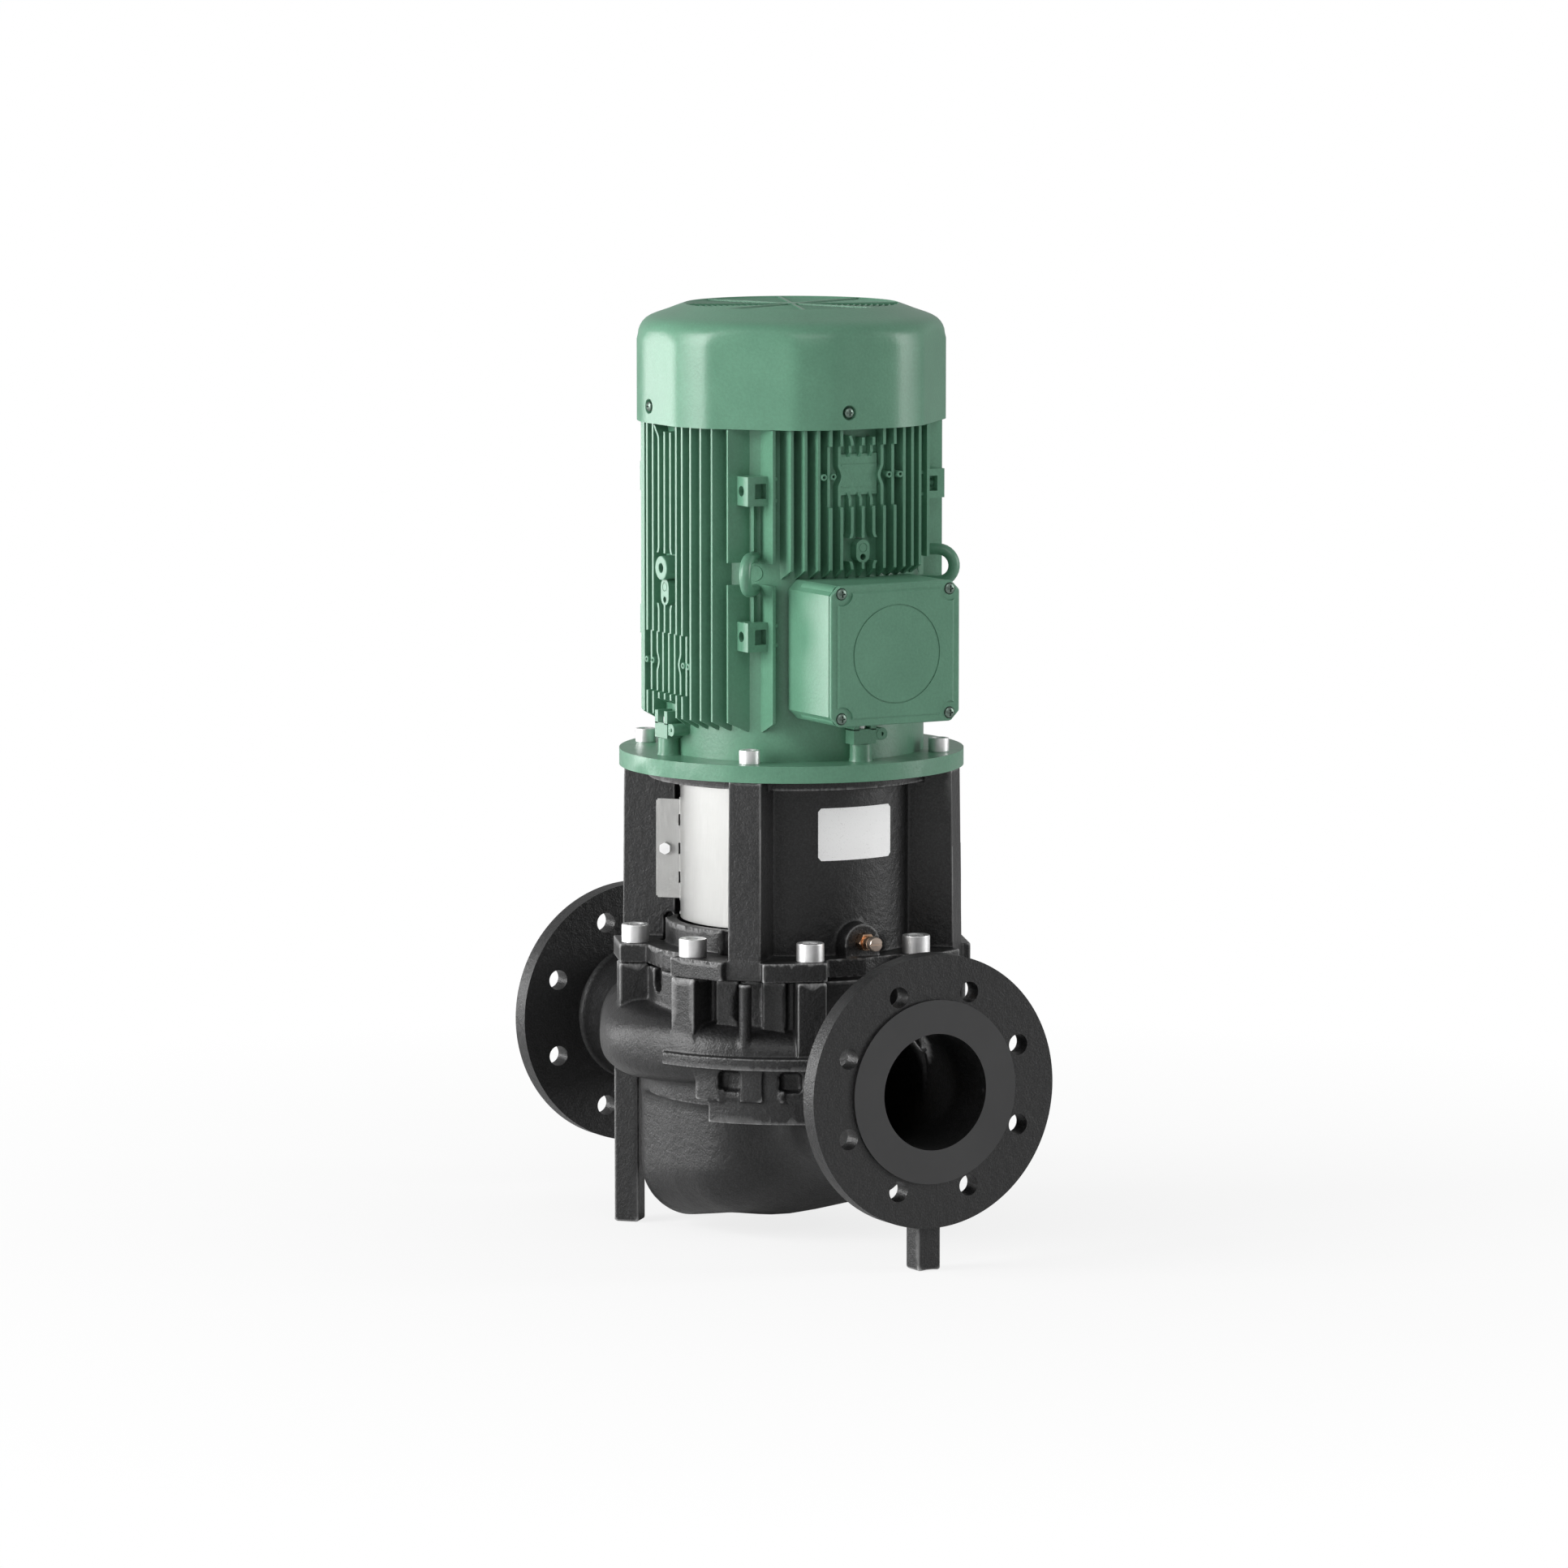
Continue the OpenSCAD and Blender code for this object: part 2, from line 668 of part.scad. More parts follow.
module lantern() {
    color(iron) from_suction_flange() difference() {
        union() {
            difference() {
                rotate_extrude() lantern_section();
                for (side = window_sides)
                    sector(lantern_r + cut, lantern_bore_r - cut, sill_z, window_top_z - 0.5,
                        side - window_angle / 2, window_angle);
            }
            translate([0, 0, joint_z]) linear_extrude(lug_t) difference() {
                union() {
                    circle(r = lantern_flange_r);
                    for (leg = leg_angles) rotate(leg) lantern_lug_outline();
                }
                circle(r = lantern_r - 4);
            }
            for (leg = leg_angles) rotate([0, 0, leg]) lantern_leg();
            translate([lantern_bore_r + 2, 0, vent_z]) rotate([0, 90, 0])
                cylinder(r = vent_boss_r, h = vent_face_r - lantern_bore_r - 2);
            radial_block(lantern_bore_r + 2, vent_face_r, 2 * vent_boss_r, lug_top_z - cut, vent_z);
        }
        post(motor_spigot_d / 2 + slip, lantern_top_z - register_h, lantern_top_z + cut);
        casing_screw_places() post(casing_screw_d / 2 + hole_play, joint_z - cut, lug_top_z + cut);
        motor_screw_places()
            post(motor_screw_d / 2 + slip, lantern_top_z - motor_screw_grip - 4, lantern_top_z + cut);
        for (leg = leg_angles)
            rotate([0, 0, leg]) leg_notch(leg == 45 || leg == 225 ? 1 : -1);
        translate([vent_face_r - 14, 0, vent_z]) rotate([0, 90, 0])
            cylinder(r = vent_thread_r + slip, h = 14 + cut);
        flap_places() translate([0, 0, -12]) cylinder(r = 3 + slip, h = 12 + cut);
    }
}

// Arched notch at the foot of a leg, on its window side
module leg_notch(side) {
    translate([lantern_bore_r + 6.7, side * (leg_w / 2 - 8), 0]) {
        translate([-5.2, side > 0 ? 0 : -9, lug_top_z + 0.3]) cube([10.4, 9, 15.7]);
        translate([0, side > 0 ? 0 : -9, lug_top_z + 16]) rotate([-90, 0, 0])
            cylinder(r = 5.2, h = 9);
    }
}

module cover_o_ring() {
    color("#1a1a1a") from_suction_flange()
        ring(joint_neck_r + joint_ring_w, joint_neck_r + 0.5, casing_top_z + 0.1, joint_z - 0.02);
}

module lantern_screws() {
    color(steel) from_suction_flange() casing_screw_places()
        translate([0, 0, lug_top_z]) cap_screw(casing_screw_d, lug_t + casing_screw_grip);
}

// Places of the guards' screws on the legs' flanks, with +Z out of the flank
module flap_places() {
    for (side = window_sides, hand = [-1, 1])
        rotate([0, 0, side + hand * 45]) translate([guard_r + 12.5, -hand * leg_w / 2, guard_screw_z])
            rotate([hand * 90, 0, 0]) children();
}

// Guard for one window: a curved sheet between the legs with a flap on each leg
module coupling_guard(side) {
    edge = asin(leg_w / 2 / guard_r);
    color(steel) from_suction_flange() difference() {
        union() {
            sector(guard_r, guard_r - sheet_t, sill_z + 0.5, window_top_z,
                side - 45 + edge, 90 - 2 * edge);
            for (hand = [-1, 1])
                rotate([0, 0, side + hand * 45])
                    translate([guard_r - 2, hand > 0 ? -leg_w / 2 - sheet_t - 0.05 : leg_w / 2 + 0.05,
                        guard_screw_z - flap_h / 2])
                        cube([flap_reach - guard_r + 2, sheet_t, flap_h]);
        }
        flap_places() translate([0, 0, -cut]) cylinder(r = 3.3, h = sheet_t + 2 * cut);
        for (hand = [-1, 1], i = [-2 : 2])
            rotate([0, 0, side + hand * (45 - edge - 1.6)])
                radial_block(guard_r - 5, guard_r + 5, 3.4, guard_screw_z + slot_pitch * i - slot_h / 2,
                    guard_screw_z + slot_pitch * i + slot_h / 2);
    }
}

module left_coupling_guard() {
    coupling_guard(270);
}

module right_coupling_guard() {
    coupling_guard(90);
}

module guard_screws() {
    color(steel) from_suction_flange() flap_places() {
        translate([0, 0, sheet_t + 0.1]) cylinder(r = 5.5, h = 4, $fn = 6);
        translate([0, 0, -10]) cylinder(r = 3, h = 12);
    }
}

module rating_plate() {
    color("white") from_suction_flange()
        sector(lantern_r + 0.5, lantern_r + 0.02, plate_z - plate_h / 2, plate_z + plate_h / 2,
            2 - plate_angle / 2, plate_angle);
}

module vent_valve_body() {
    color(copper) from_suction_flange() translate([vent_face_r, 0, vent_z]) rotate([0, 90, 0])
        difference() {
            union() {
                translate([0, 0, 0.05]) cylinder(r = 8, h = 8, $fn = 6);
                translate([0, 0, -12]) cylinder(r = vent_thread_r, h = 13);
                cylinder(r = 6, h = 16);
            }
            translate([0, 0, 2]) cylinder(r = 3.55, h = 30);
        }
}

module vent_screw() {
    color("#d8b09a") from_suction_flange() translate([vent_face_r, 0, vent_z]) rotate([0, 90, 0])
        union() {
            translate([0, 0, 4]) cylinder(r = 3.5, h = 14);
            translate([0, 0, 16.3]) cylinder(r = 5.5, h = 7);
        }
}

// Mechanical seal, from the seat in the adapter down to the impeller's shoulder
module seal_seat() {
    color("#d9d2c5") from_suction_flange() difference() {
        union() {
            post(seat_bore_r - 3, seat_floor_z - 1, seat_floor_z + seat_h - 0.1);
            post(seat_bore_r - slip, seat_floor_z + 5, seat_floor_z + seat_h - 0.1);
        }
        post(shaft_hole_r, seat_floor_z - 2, seat_floor_z + seat_h + cut);
    }
}

module seal_seat_o_ring() {
    color("#1a1a1a") from_suction_flange()
        ring(seat_bore_r - 0.05, seat_bore_r - 2.95, seat_floor_z + 1, seat_floor_z + 4.9);
}

module seal_face_ring() {
    color("#3a3a3a") from_suction_flange()
        ring(seat_bore_r - 3.5, pump_shaft_r + 0.3, seat_floor_z - 8, seat_floor_z - 1.02);
}

module seal_bellows() {
    color("#151515") from_suction_flange() difference() {
        union() {
            post(22, shoulder_z + 0.3, seat_floor_z - 8.05);
            post(27.5, shoulder_z + 0.3, shoulder_z + 2);
        }
        post(pump_shaft_r + seat, shoulder_z - cut, seat_floor_z);
    }
}

// Coil spring around the bellows, swept in even steps along its helix
spring_turns = 4;
spring_steps = 20;
spring_sides = 8;
spring_r = 24.6;
spring_wire_r = 1.5;
spring_low_z = impeller_top_z + 8;
spring_high_z = seat_floor_z - 3;
spring_rings = spring_turns * spring_steps;
function spring_point(i, j) =
    let (
        a = 360 * i / spring_steps,
        b = 360 * j / spring_sides,
        r = spring_r + spring_wire_r * cos(b),
        z = spring_low_z + (spring_high_z - spring_low_z) * i / spring_rings
    )
    [r * cos(a), r * sin(a), z + spring_wire_r * sin(b)];

module seal_spring() {
    points = [for (i = [0 : spring_rings], j = [0 : spring_sides - 1]) spring_point(i, j)];
    sides = [for (i = [0 : spring_rings - 1], j = [0 : spring_sides - 1])
        [i * spring_sides + j, i * spring_sides + (j + 1) % spring_sides,
            (i + 1) * spring_sides + (j + 1) % spring_sides, (i + 1) * spring_sides + j]];
    ends = [[for (j = [spring_sides - 1 : -1 : 0]) j],
        [for (j = [0 : spring_sides - 1]) spring_rings * spring_sides + j]];
    color(steel) from_suction_flange() polyhedron(points, concat(sides, ends));
}

module pump_shaft() {
    color(steel) from_suction_flange() difference() {
        union() {
            post(stud_r, impeller_low_z - 12, shoulder_z);
            post(hub_seat_r, impeller_low_z + 4, shoulder_z);
            post(pump_shaft_r, shoulder_z, pump_shaft_top_z);
        }
        key_shape(0.05);
    }
}

// Key and its slot, wider all round by play
module key_shape(play) {
    translate([hub_seat_r - 4, -4 - play, impeller_low_z + 8])
        cube([7 + play, 8 + 2 * play, 26 + play]);
}

module impeller_blade() {
    linear_extrude(outlet_w + 1) intersection() {
        difference() {
            translate([30, -46]) circle(r = 72);
            translate([30, -46]) circle(r = 68);
        }
        difference() {
            circle(r = impeller_r);
            circle(r = skirt_d / 2 - 4);
        }
        square([2 * impeller_r, 2 * impeller_r]);
    }
}

module impeller() {
    low = impeller_low_z;
    color(iron) from_suction_flange() difference() {
        union() {
            ring(impeller_r, skirt_d / 2 - 5, low, low + shroud_t);
            ring(skirt_d / 2, skirt_d / 2 - 5, chamber_top_z, low + shroud_t);
            ring(impeller_r, hub_seat_r + seat, impeller_top_z - shroud_t, impeller_top_z);
            ring(hub_seat_r + 10, hub_seat_r + seat, low + 5, shoulder_z);
            for (i = [0 : impeller_blades - 1])
                rotate([0, 0, i * 360 / impeller_blades])
                    translate([0, 0, low + shroud_t - 0.5]) impeller_blade();
        }
        key_shape(0.05);
    }
}

module impeller_key() {
    color(steel) from_suction_flange() key_shape(0);
}

module impeller_washer() {
    color(steel) from_suction_flange()
        ring(hub_seat_r + 8, stud_r + slip, impeller_low_z + 0.9, impeller_low_z + 3.95);
}

module impeller_nut() {
    color(steel) from_suction_flange() difference() {
        translate([0, 0, impeller_low_z - nut_h + 0.8]) cylinder(r = nut_r, h = nut_h, $fn = 6);
        post(stud_r + seat, impeller_low_z - 12.1, impeller_low_z + 2);
    }
}

// Split coupling: both halves grip the two shaft ends
module coupling_half(turn) {
    color(machined) from_suction_flange() rotate([0, 0, turn]) difference() {
        post(coupling_r, coupling_low_z, coupling_low_z + coupling_len);
        post(pump_shaft_r + seat, coupling_low_z - cut, pump_shaft_top_z + 1.5);
        post(motor_shaft_r + seat, pump_shaft_top_z + 1.5, coupling_low_z + coupling_len + cut);
        translate([-coupling_r - cut, -coupling_r - cut, coupling_low_z - cut])
            cube([2 * coupling_r + 2 * cut, coupling_r + cut + coupling_split, coupling_len + 2 * cut]);
        coupling_screw_places() translate([0, 0, -50]) cylinder(r = 4 + slip, h = 100);
        coupling_screw_places() translate([0, 0, 12]) cylinder(r = 6 + 0.3, h = 40);
        rotate([0, 0, 180]) coupling_screw_places()
            translate([0, 0, 12]) cylinder(r = 6 + 0.3, h = 40);
    }
}

module coupling_screw_places() {
    for (x = [-1, 1], z = [15, coupling_len - 15])
        translate([x * (coupling_r - 9), 0, coupling_low_z + z]) rotate([-90, 0, 0]) children();
}

module coupling_half_a() {
    coupling_half(0);
}

module coupling_half_b() {
    coupling_half(180);
}

module coupling_screws() {
    color(steel) from_suction_flange() coupling_screw_places() {
        translate([0, 0, 12.02]) cylinder(r = 6, h = 8);
        translate([0, 0, -12]) cylinder(r = 4, h = 25);
    }
}

// Motor shaft, stepped from the drive end up to the fan
module motor_shaft() {
    color(steel) from_suction_flange() difference() {
        union() {
            post(motor_shaft_r, motor_shaft_low_z, drive_bearing_z);
            post(bearing_shaft_r, drive_bearing_z - 8, drive_bearing_z + drive_bearing_h + 4);
            post(core_shaft_r, drive_bearing_z + drive_bearing_h + 0.3, fan_bearing_z - 0.3);
            post(bearing_shaft_r, fan_bearing_z - 4, fan_bearing_z + fan_bearing_h + 2);
            post(16, fan_bearing_z, shaft_end_z);
        }
        ring(20, 15, fan_low_z + fan_hub_h + 0.3, fan_low_z + fan_hub_h + 2);
    }
}

module shaft_v_ring() {
    color("#1a1a1a") from_suction_flange()
        ring(motor_shaft_r + 8, motor_shaft_r + seat, lantern_top_z - 7, lantern_top_z - 0.3);
}

module rotor_core() {
    color("#6a6d70") from_suction_flange()
        ring(rotor_r, core_shaft_r + seat, core_low_z, core_high_z);
}

module rotor_end_rings() {
    color("#c8cacc") from_suction_flange() {
        ring(rotor_r - 1, rotor_r - 22, core_low_z - end_ring_h, core_low_z - 0.02);
        ring(rotor_r - 1, rotor_r - 22, core_high_z + 0.02, core_high_z + end_ring_h);
    }
}

// Deep groove ball bearing: rings with a groove, balls, and the cage between them
ball_count = 8;
drive_ball_r = 7.5;
drive_ball_track = 32.5;
fan_ball_r = 6;
fan_ball_track = 30;
groove_play = 0.08;

module bearing_ring(r_out, r_in, z, h, track, ball) {
    color(steel) from_suction_flange() difference() {
        ring(r_out, r_in, z, z + h);
        translate([0, 0, z + h / 2]) rotate_extrude()
            translate([track, 0]) circle(r = ball + groove_play);
    }
}

module bearing_balls(z, h, track, ball) {
    color(steel) from_suction_flange()
        for (i = [0 : ball_count - 1])
            rotate([0, 0, i * 360 / ball_count]) translate([track, 0, z + h / 2]) sphere(r = ball);
}

module bearing_cage(z, h, track, ball) {
    color("#b08d57") from_suction_flange() difference() {
        ring(track + 2, track - 2, z + h / 2 - ball - 1, z + h / 2 + ball + 1);
        for (i = [0 : ball_count - 1])
            rotate([0, 0, i * 360 / ball_count]) translate([track - 6, 0, z + h / 2])
                rotate([0, 90, 0]) cylinder(r = ball + groove_play, h = 12);
    }
}

module drive_end_inner_ring() {
    bearing_ring(drive_ball_track - 4, bearing_shaft_r + seat, drive_bearing_z, drive_bearing_h,
        drive_ball_track, drive_ball_r);
}

module drive_end_outer_ring() {
    bearing_ring(drive_bearing_r, drive_ball_track + 4, drive_bearing_z, drive_bearing_h,
        drive_ball_track, drive_ball_r);
}

module drive_end_cage() {
    bearing_cage(drive_bearing_z, drive_bearing_h, drive_ball_track, drive_ball_r);
}

module drive_end_balls() {
    bearing_balls(drive_bearing_z, drive_bearing_h, drive_ball_track, drive_ball_r);
}

module fan_end_inner_ring() {
    bearing_ring(fan_ball_track - 3.5, bearing_shaft_r + seat, fan_bearing_z, fan_bearing_h,
        fan_ball_track, fan_ball_r);
}

module fan_end_outer_ring() {
    bearing_ring(fan_bearing_r, fan_ball_track + 3.5, fan_bearing_z, fan_bearing_h,
        fan_ball_track, fan_ball_r);
}

module fan_end_cage() {
    bearing_cage(fan_bearing_z, fan_bearing_h, fan_ball_track, fan_ball_r);
}

module fan_end_balls() {
    bearing_balls(fan_bearing_z, fan_bearing_h, fan_ball_track, fan_ball_r);
}

module wave_spring() {
    color(steel) from_suction_flange()
        ring(fan_bearing_r - 0.5, fan_ball_track + 4, fan_bearing_z + fan_bearing_h + 0.1,
            fan_bearing_z + fan_bearing_h + 2.9);
}

// Flange and bearing shield at the drive end
module shield_section() {
    polygon([
        [motor_shaft_r + 1, lantern_top_z],
        [motor_spigot_d / 2 - 15, lantern_top_z],
        [motor_spigot_d / 2 - 15, lantern_top_z - register_h + 0.3],
        [motor_spigot_d / 2, lantern_top_z - register_h + 0.3],
        [motor_spigot_d / 2, lantern_top_z],
        [motor_flange_d / 2, lantern_top_z],
        [motor_flange_d / 2, motor_flange_top_z],
        [frame_bore_r - slip, motor_flange_top_z],
        [frame_bore_r - slip, motor_flange_top_z + 8],
        [frame_bore_r - 9, motor_flange_top_z + 8],
        [frame_bore_r - 9, motor_flange_top_z - 3],
        [drive_bearing_r + 12, motor_flange_top_z - 3],
        [drive_bearing_r + 12, drive_bearing_z + drive_bearing_h],
        [drive_bearing_r + seat, drive_bearing_z + drive_bearing_h],
        [drive_bearing_r + seat, drive_bearing_z],
        [drive_bearing_r - 8, drive_bearing_z],
        [drive_bearing_r - 8, drive_bearing_z - 9],
        [motor_shaft_r + 1, drive_bearing_z - 9]
    ]);
}

module frame_screw_places() {
    for (side = side_angles)
        rotate([0, 0, side]) translate([frame_lug_r, 0, 0]) children();
}

module drive_end_shield() {
    color(green) from_suction_flange() difference() {
        union() {
            rotate_extrude() shield_section();
            difference() {
                frame_screw_places() post(frame_post_r, motor_flange_top_z - cut, frame_lug_z - 0.05);
                post(frame_r + 0.3, motor_flange_top_z, frame_lug_z);
            }
        }
        motor_screw_places()
            post(motor_screw_d / 2 + hole_play, lantern_top_z - cut, motor_flange_top_z + cut);
        frame_screw_places() post(3 + slip, motor_flange_top_z - 8, frame_lug_z + cut);
    }
}

module motor_flange_screws() {
    color(steel) from_suction_flange() motor_screw_places()
        translate([0, 0, motor_flange_top_z]) cap_screw(motor_screw_d, motor_flange_t + motor_screw_grip);
}

module frame_screws() {
    color(steel) from_suction_flange() frame_screw_places()
        translate([0, 0, frame_lug_z + frame_lug_h]) cap_screw(6, frame_lug_h + 18);
}

// One fin as a plate whose lower edge slopes down to its root
module fin(offset, reach, low) {
    translate([0, offset + fin_t / 2, 0]) rotate([90, 0, 0]) linear_extrude(fin_t)
        polygon([
            [sqrt(fin_root_r * fin_root_r - offset * offset), low - fin_root_drop],
            [sqrt(frame_r * frame_r - offset * offset), low - fin_root_drop],
            [reach, low],
            [reach, fin_high_z],
            [sqrt(fin_root_r * fin_root_r - offset * offset), fin_high_z]
        ]);
}

function fin_tip(offset) = min(fin_flat, sqrt(fin_reach * fin_reach - offset * offset));

// Fins of one side; low_middle is the height where the fins over a box or lug begin
module fin_side(low_middle) {
    for (i = [-fin_count : fin_count])
        fin(i * fin_pitch, fin_tip(i * fin_pitch), low_middle);
    for (hand = [-1, 1]) fin(hand * outer_fin, fin_tip(outer_fin), fin_low_z);
}

// Zone of a side where the fins are lower, so that a plate can be screwed on
module plate_zone(z) {
    radial_block(fin_flat - plate_zone_drop, fin_flat + 10, plate_zone_w, z - plate_zone_h / 2,
        z + plate_zone_h / 2);
}

module zone_boss_places(z) {
    for (y = zone_bosses) translate([frame_r - 6, y, z]) rotate([0, 90, 0]) children();
}

// Upright block with round ends and a hole near its lower end, in the middle of a side
module oblong_boss(z, h, w) {
    translate([frame_r - 4, 0, 0]) rotate([90, 0, 90]) linear_extrude(fin_flat - frame_r + 3.6)
        difference() {
            union() {
                translate([0, z - h / 2 + w / 2]) circle(d = w);
                translate([0, z + h / 2 - w / 2]) circle(d = w);
                translate([-w / 2, z - h / 2 + w / 2]) square([w, h - w]);
            }
            translate([0, z - h / 2 + w / 2 - 1]) circle(r = 2.8);
        }
}

// Space left free of fins around a boss in the middle of a side
module boss_space(z0, z1) {
    radial_block(frame_r + 0.4, fin_flat + 10, 2.4 * fin_pitch, z0, z1);
}

// Square lug on a corner of the frame, with a hole in one face and a pocket in the other
module corner_block(z) {
    difference() {
        translate([block_corner - block_w, block_corner - block_w, z])
            cube([block_w, block_w, block_h]);
        translate([block_corner - block_w / 2, block_corner - 8, z + block_h / 2])
            rotate([-90, 0, 0]) cylinder(r = 4.5, h = 8 + cut);
        translate([block_corner - 8, block_corner - block_w / 2 - 6, z + 6]) cube([8 + cut, 9, 13]);
    }
}

// Thin rib on a diagonal, between a square lug and a lifting eye
module diagonal_rib(z0, z1) {
    radial_block(frame_r - 4, diagonal_rib_r, diagonal_rib_t, z0, z1);
}

module stator_frame() {
    color(green) from_suction_flange() difference() {
        union() {
            ring(frame_r, frame_bore_r, motor_flange_top_z + 0.02, frame_top_z);
            difference() {
                union() {
                    fin_side(box_z + box_h / 2 + 8);
                    for (side = [90, 180, 270]) rotate([0, 0, side]) fin_side(fin_low_z);
                }
                plate_zone(front_zone_z);
                rotate([0, 0, 270]) plate_zone(left_zone_z);
                boss_space(front_boss_z - 10, front_boss_z + 12);
                boss_space(front_zone_z - pad_h / 2, front_zone_z + pad_h / 2);
                rotate([0, 0, 270]) boss_space(left_boss_z - 10, round_boss_z + 12);
                for (a = [45, 315])
                    rotate([0, 0, a])
                        radial_block(frame_r + 0.4, cover_r, 70, eye_z - eye_gap / 2, eye_z + eye_gap / 2);
            }
            zone_boss_places(front_zone_z) cylinder(r = 3, h = fin_flat - frame_r + 4);
            rotate([0, 0, 270]) zone_boss_places(left_zone_z)
                cylinder(r = 3, h = fin_flat - frame_r + 4);
            radial_block(frame_r - 6, frame_r + 3, pad_w, front_zone_z - pad_h / 2, front_zone_z + pad_h / 2);
            oblong_boss(front_boss_z, 20, 13);
            rotate([0, 0, 270]) {
                oblong_boss(left_boss_z, 23, 14);
                translate([frame_r - 4, 0, round_boss_z]) rotate([0, 90, 0])
                    cylinder(r = round_boss_r, h = fin_flat - frame_r + 7);
            }
            for (x = [0, 1], y = [0, 1], z = block_heights)
                mirror([x, 0, 0]) mirror([0, y, 0]) corner_block(z);
            for (a = [45, 315])
                rotate([0, 0, a]) {
                    diagonal_rib(block_heights[0] + cut, eye_z - eye_half_h);
                    diagonal_rib(eye_z + eye_half_h, block_heights[1] + cut);
                }
            for (side = side_angles)
                rotate([0, 0, side])
                    radial_block(frame_r - 4, frame_lug_reach, frame_lug_w, frame_lug_z,
                        frame_lug_z + frame_lug_h);
            radial_block(frame_r - 4, frame_r + 2, 96, box_low_z + 12, box_low_z + box_h - 12);
        }
        post(frame_bore_r, motor_flange_top_z - cut, frame_top_z + cut);
        radial_block(frame_bore_r - 10, frame_r + 12, 50, box_z - 25, box_z + 25);
        zone_boss_places(front_zone_z) cylinder(r = 1.3, h = 30);
        rotate([0, 0, 270]) {
            zone_boss_places(left_zone_z) cylinder(r = 1.3, h = 30);
            translate([frame_r + 2, 0, round_boss_z]) rotate([0, 90, 0]) cylinder(r = 4, h = 30);
        }
        frame_screw_places() post(3 + hole_play, frame_lug_z - cut, frame_lug_z + frame_lug_h + cut);
        frame_screw_places()
            post(frame_screw_head_r + 0.4, frame_lug_z + frame_lug_h, frame_lug_z + frame_lug_h + 24);
        rotate([0, 0, 315]) eye_seat(slip);
        rotate([0, 0, 45]) eye_seat(slip);
        fan_shield_places() post(3 + slip, frame_top_z - 20, frame_top_z + cut);
        fan_cover_screw_places() translate([0, 0, -12]) cylinder(r = 2.5 + slip, h = 12 + cut);
    }
}

// Round seat of a lifting eye in the frame
module eye_seat(play) {
    translate([frame_r - eye_seat_depth, 0, eye_z]) rotate([0, 90, 0])
        cylinder(r = eye_seat_r + play, h = 30);
}

module lifting_eyes() {
    color(green) from_suction_flange()
        for (a = [45, 315])
            rotate([0, 0, a]) {
                translate([frame_r - eye_seat_depth + 0.1, 0, eye_z]) rotate([0, 90, 0])
                    cylinder(r = eye_seat_r, h = 10.5);
                translate([eye_middle_r, 0, eye_z]) rotate([90, 0, 0])
                    rotate_extrude() translate([eye_ring_r, 0]) circle(r = eye_rod_r);
                for (side = [-1, 1])
                    translate([frame_r + 0.5, 0, eye_z + side * eye_ring_r]) rotate([0, 90, 0])
                        cylinder(r = eye_rod_r - 0.2, h = eye_middle_r - frame_r);
            }
}

module stator_core() {
    color("#5a5d60") from_suction_flange()
        ring(frame_bore_r - seat, rotor_r + air_gap, core_low_z, core_high_z);
}

// End turns of the windings above and below the core
module winding_section(z, way) {
    inner = rotor_r + 6;
    outer = frame_bore_r - 6;
    polygon([
        [inner, z],
        [outer, z],
        [outer, z + way * (winding_h - 8)],
        [outer - 8, z + way * winding_h],
        [inner + 8, z + way * winding_h],
        [inner, z + way * (winding_h - 8)]
    ]);
}

module stator_windings() {
    color(copper) from_suction_flange() {
        rotate_extrude() winding_section(core_high_z + 0.02, 1);
        rotate_extrude() winding_section(core_low_z - 0.02, -1);
    }
}

module fan_shield_places() {
    for (side = side_angles)
        rotate([0, 0, side + 45]) translate([frame_r - 6.5, 0, 0]) children();
}

module fan_end_shield() {
    plate_z = frame_top_z;
    color(green) from_suction_flange() difference() {
        union() {
            ring(frame_r - 0.5, 17, plate_z + 0.02, plate_z + 8);
            ring(frame_bore_r - slip, frame_bore_r - 9, plate_z - 8, plate_z + 1);
            ring(fan_bearing_r + 9, fan_bearing_r + seat, fan_bearing_z, plate_z + 1);
            ring(fan_bearing_r + 9, 17, fan_bearing_z + fan_bearing_h + 3, plate_z + 1);
            for (side = side_angles)
                rotate([0, 0, side]) translate([fan_r + 5.5, -25, plate_z + 0.02])
                    cube([cover_r - 19.2 - fan_r - 5.5, 16, 18]);
        }
        fan_shield_places() post(3 + hole_play, plate_z - cut, plate_z + 8 + cut);
        fan_cover_screw_places() translate([0, 0, -25]) cylinder(r = 2.5 + slip, h = 12);
    }
}

module fan_shield_screws() {
    color(steel) from_suction_flange() fan_shield_places()
        translate([0, 0, frame_top_z + 8]) cap_screw(6, 26);
}

module cooling_fan() {
    low = fan_low_z;
    color("#2a2a2a") from_suction_flange() difference() {
        union() {
            ring(fan_r, 24, low, low + 3);
            ring(26, 16 + seat, low, low + fan_hub_h);
            for (i = [0 : fan_blades - 1])
                rotate([0, 0, i * 360 / fan_blades])
                    radial_block(24, fan_r, 3, low + 1, low + fan_hub_h - 2);
        }
        post(16 + seat, low - cut, low + fan_hub_h + cut);
    }
}

module fan_circlip() {
    color(steel) from_suction_flange()
        ring(19.5, 15 + seat, fan_low_z + fan_hub_h + 0.35, fan_low_z + fan_hub_h + 1.95);
}

// Fan cover: round corners with flats on the four diagonals, then a shoulder and a cone
module cover_outline(inset) {
    intersection() {
        circle(r = cover_r - inset);
        rotate([0, 0, 45]) square(2 * (cover_flat - inset), center = true);
        square(2 * (cover_r - 2.5 - inset), center = true);
    }
}

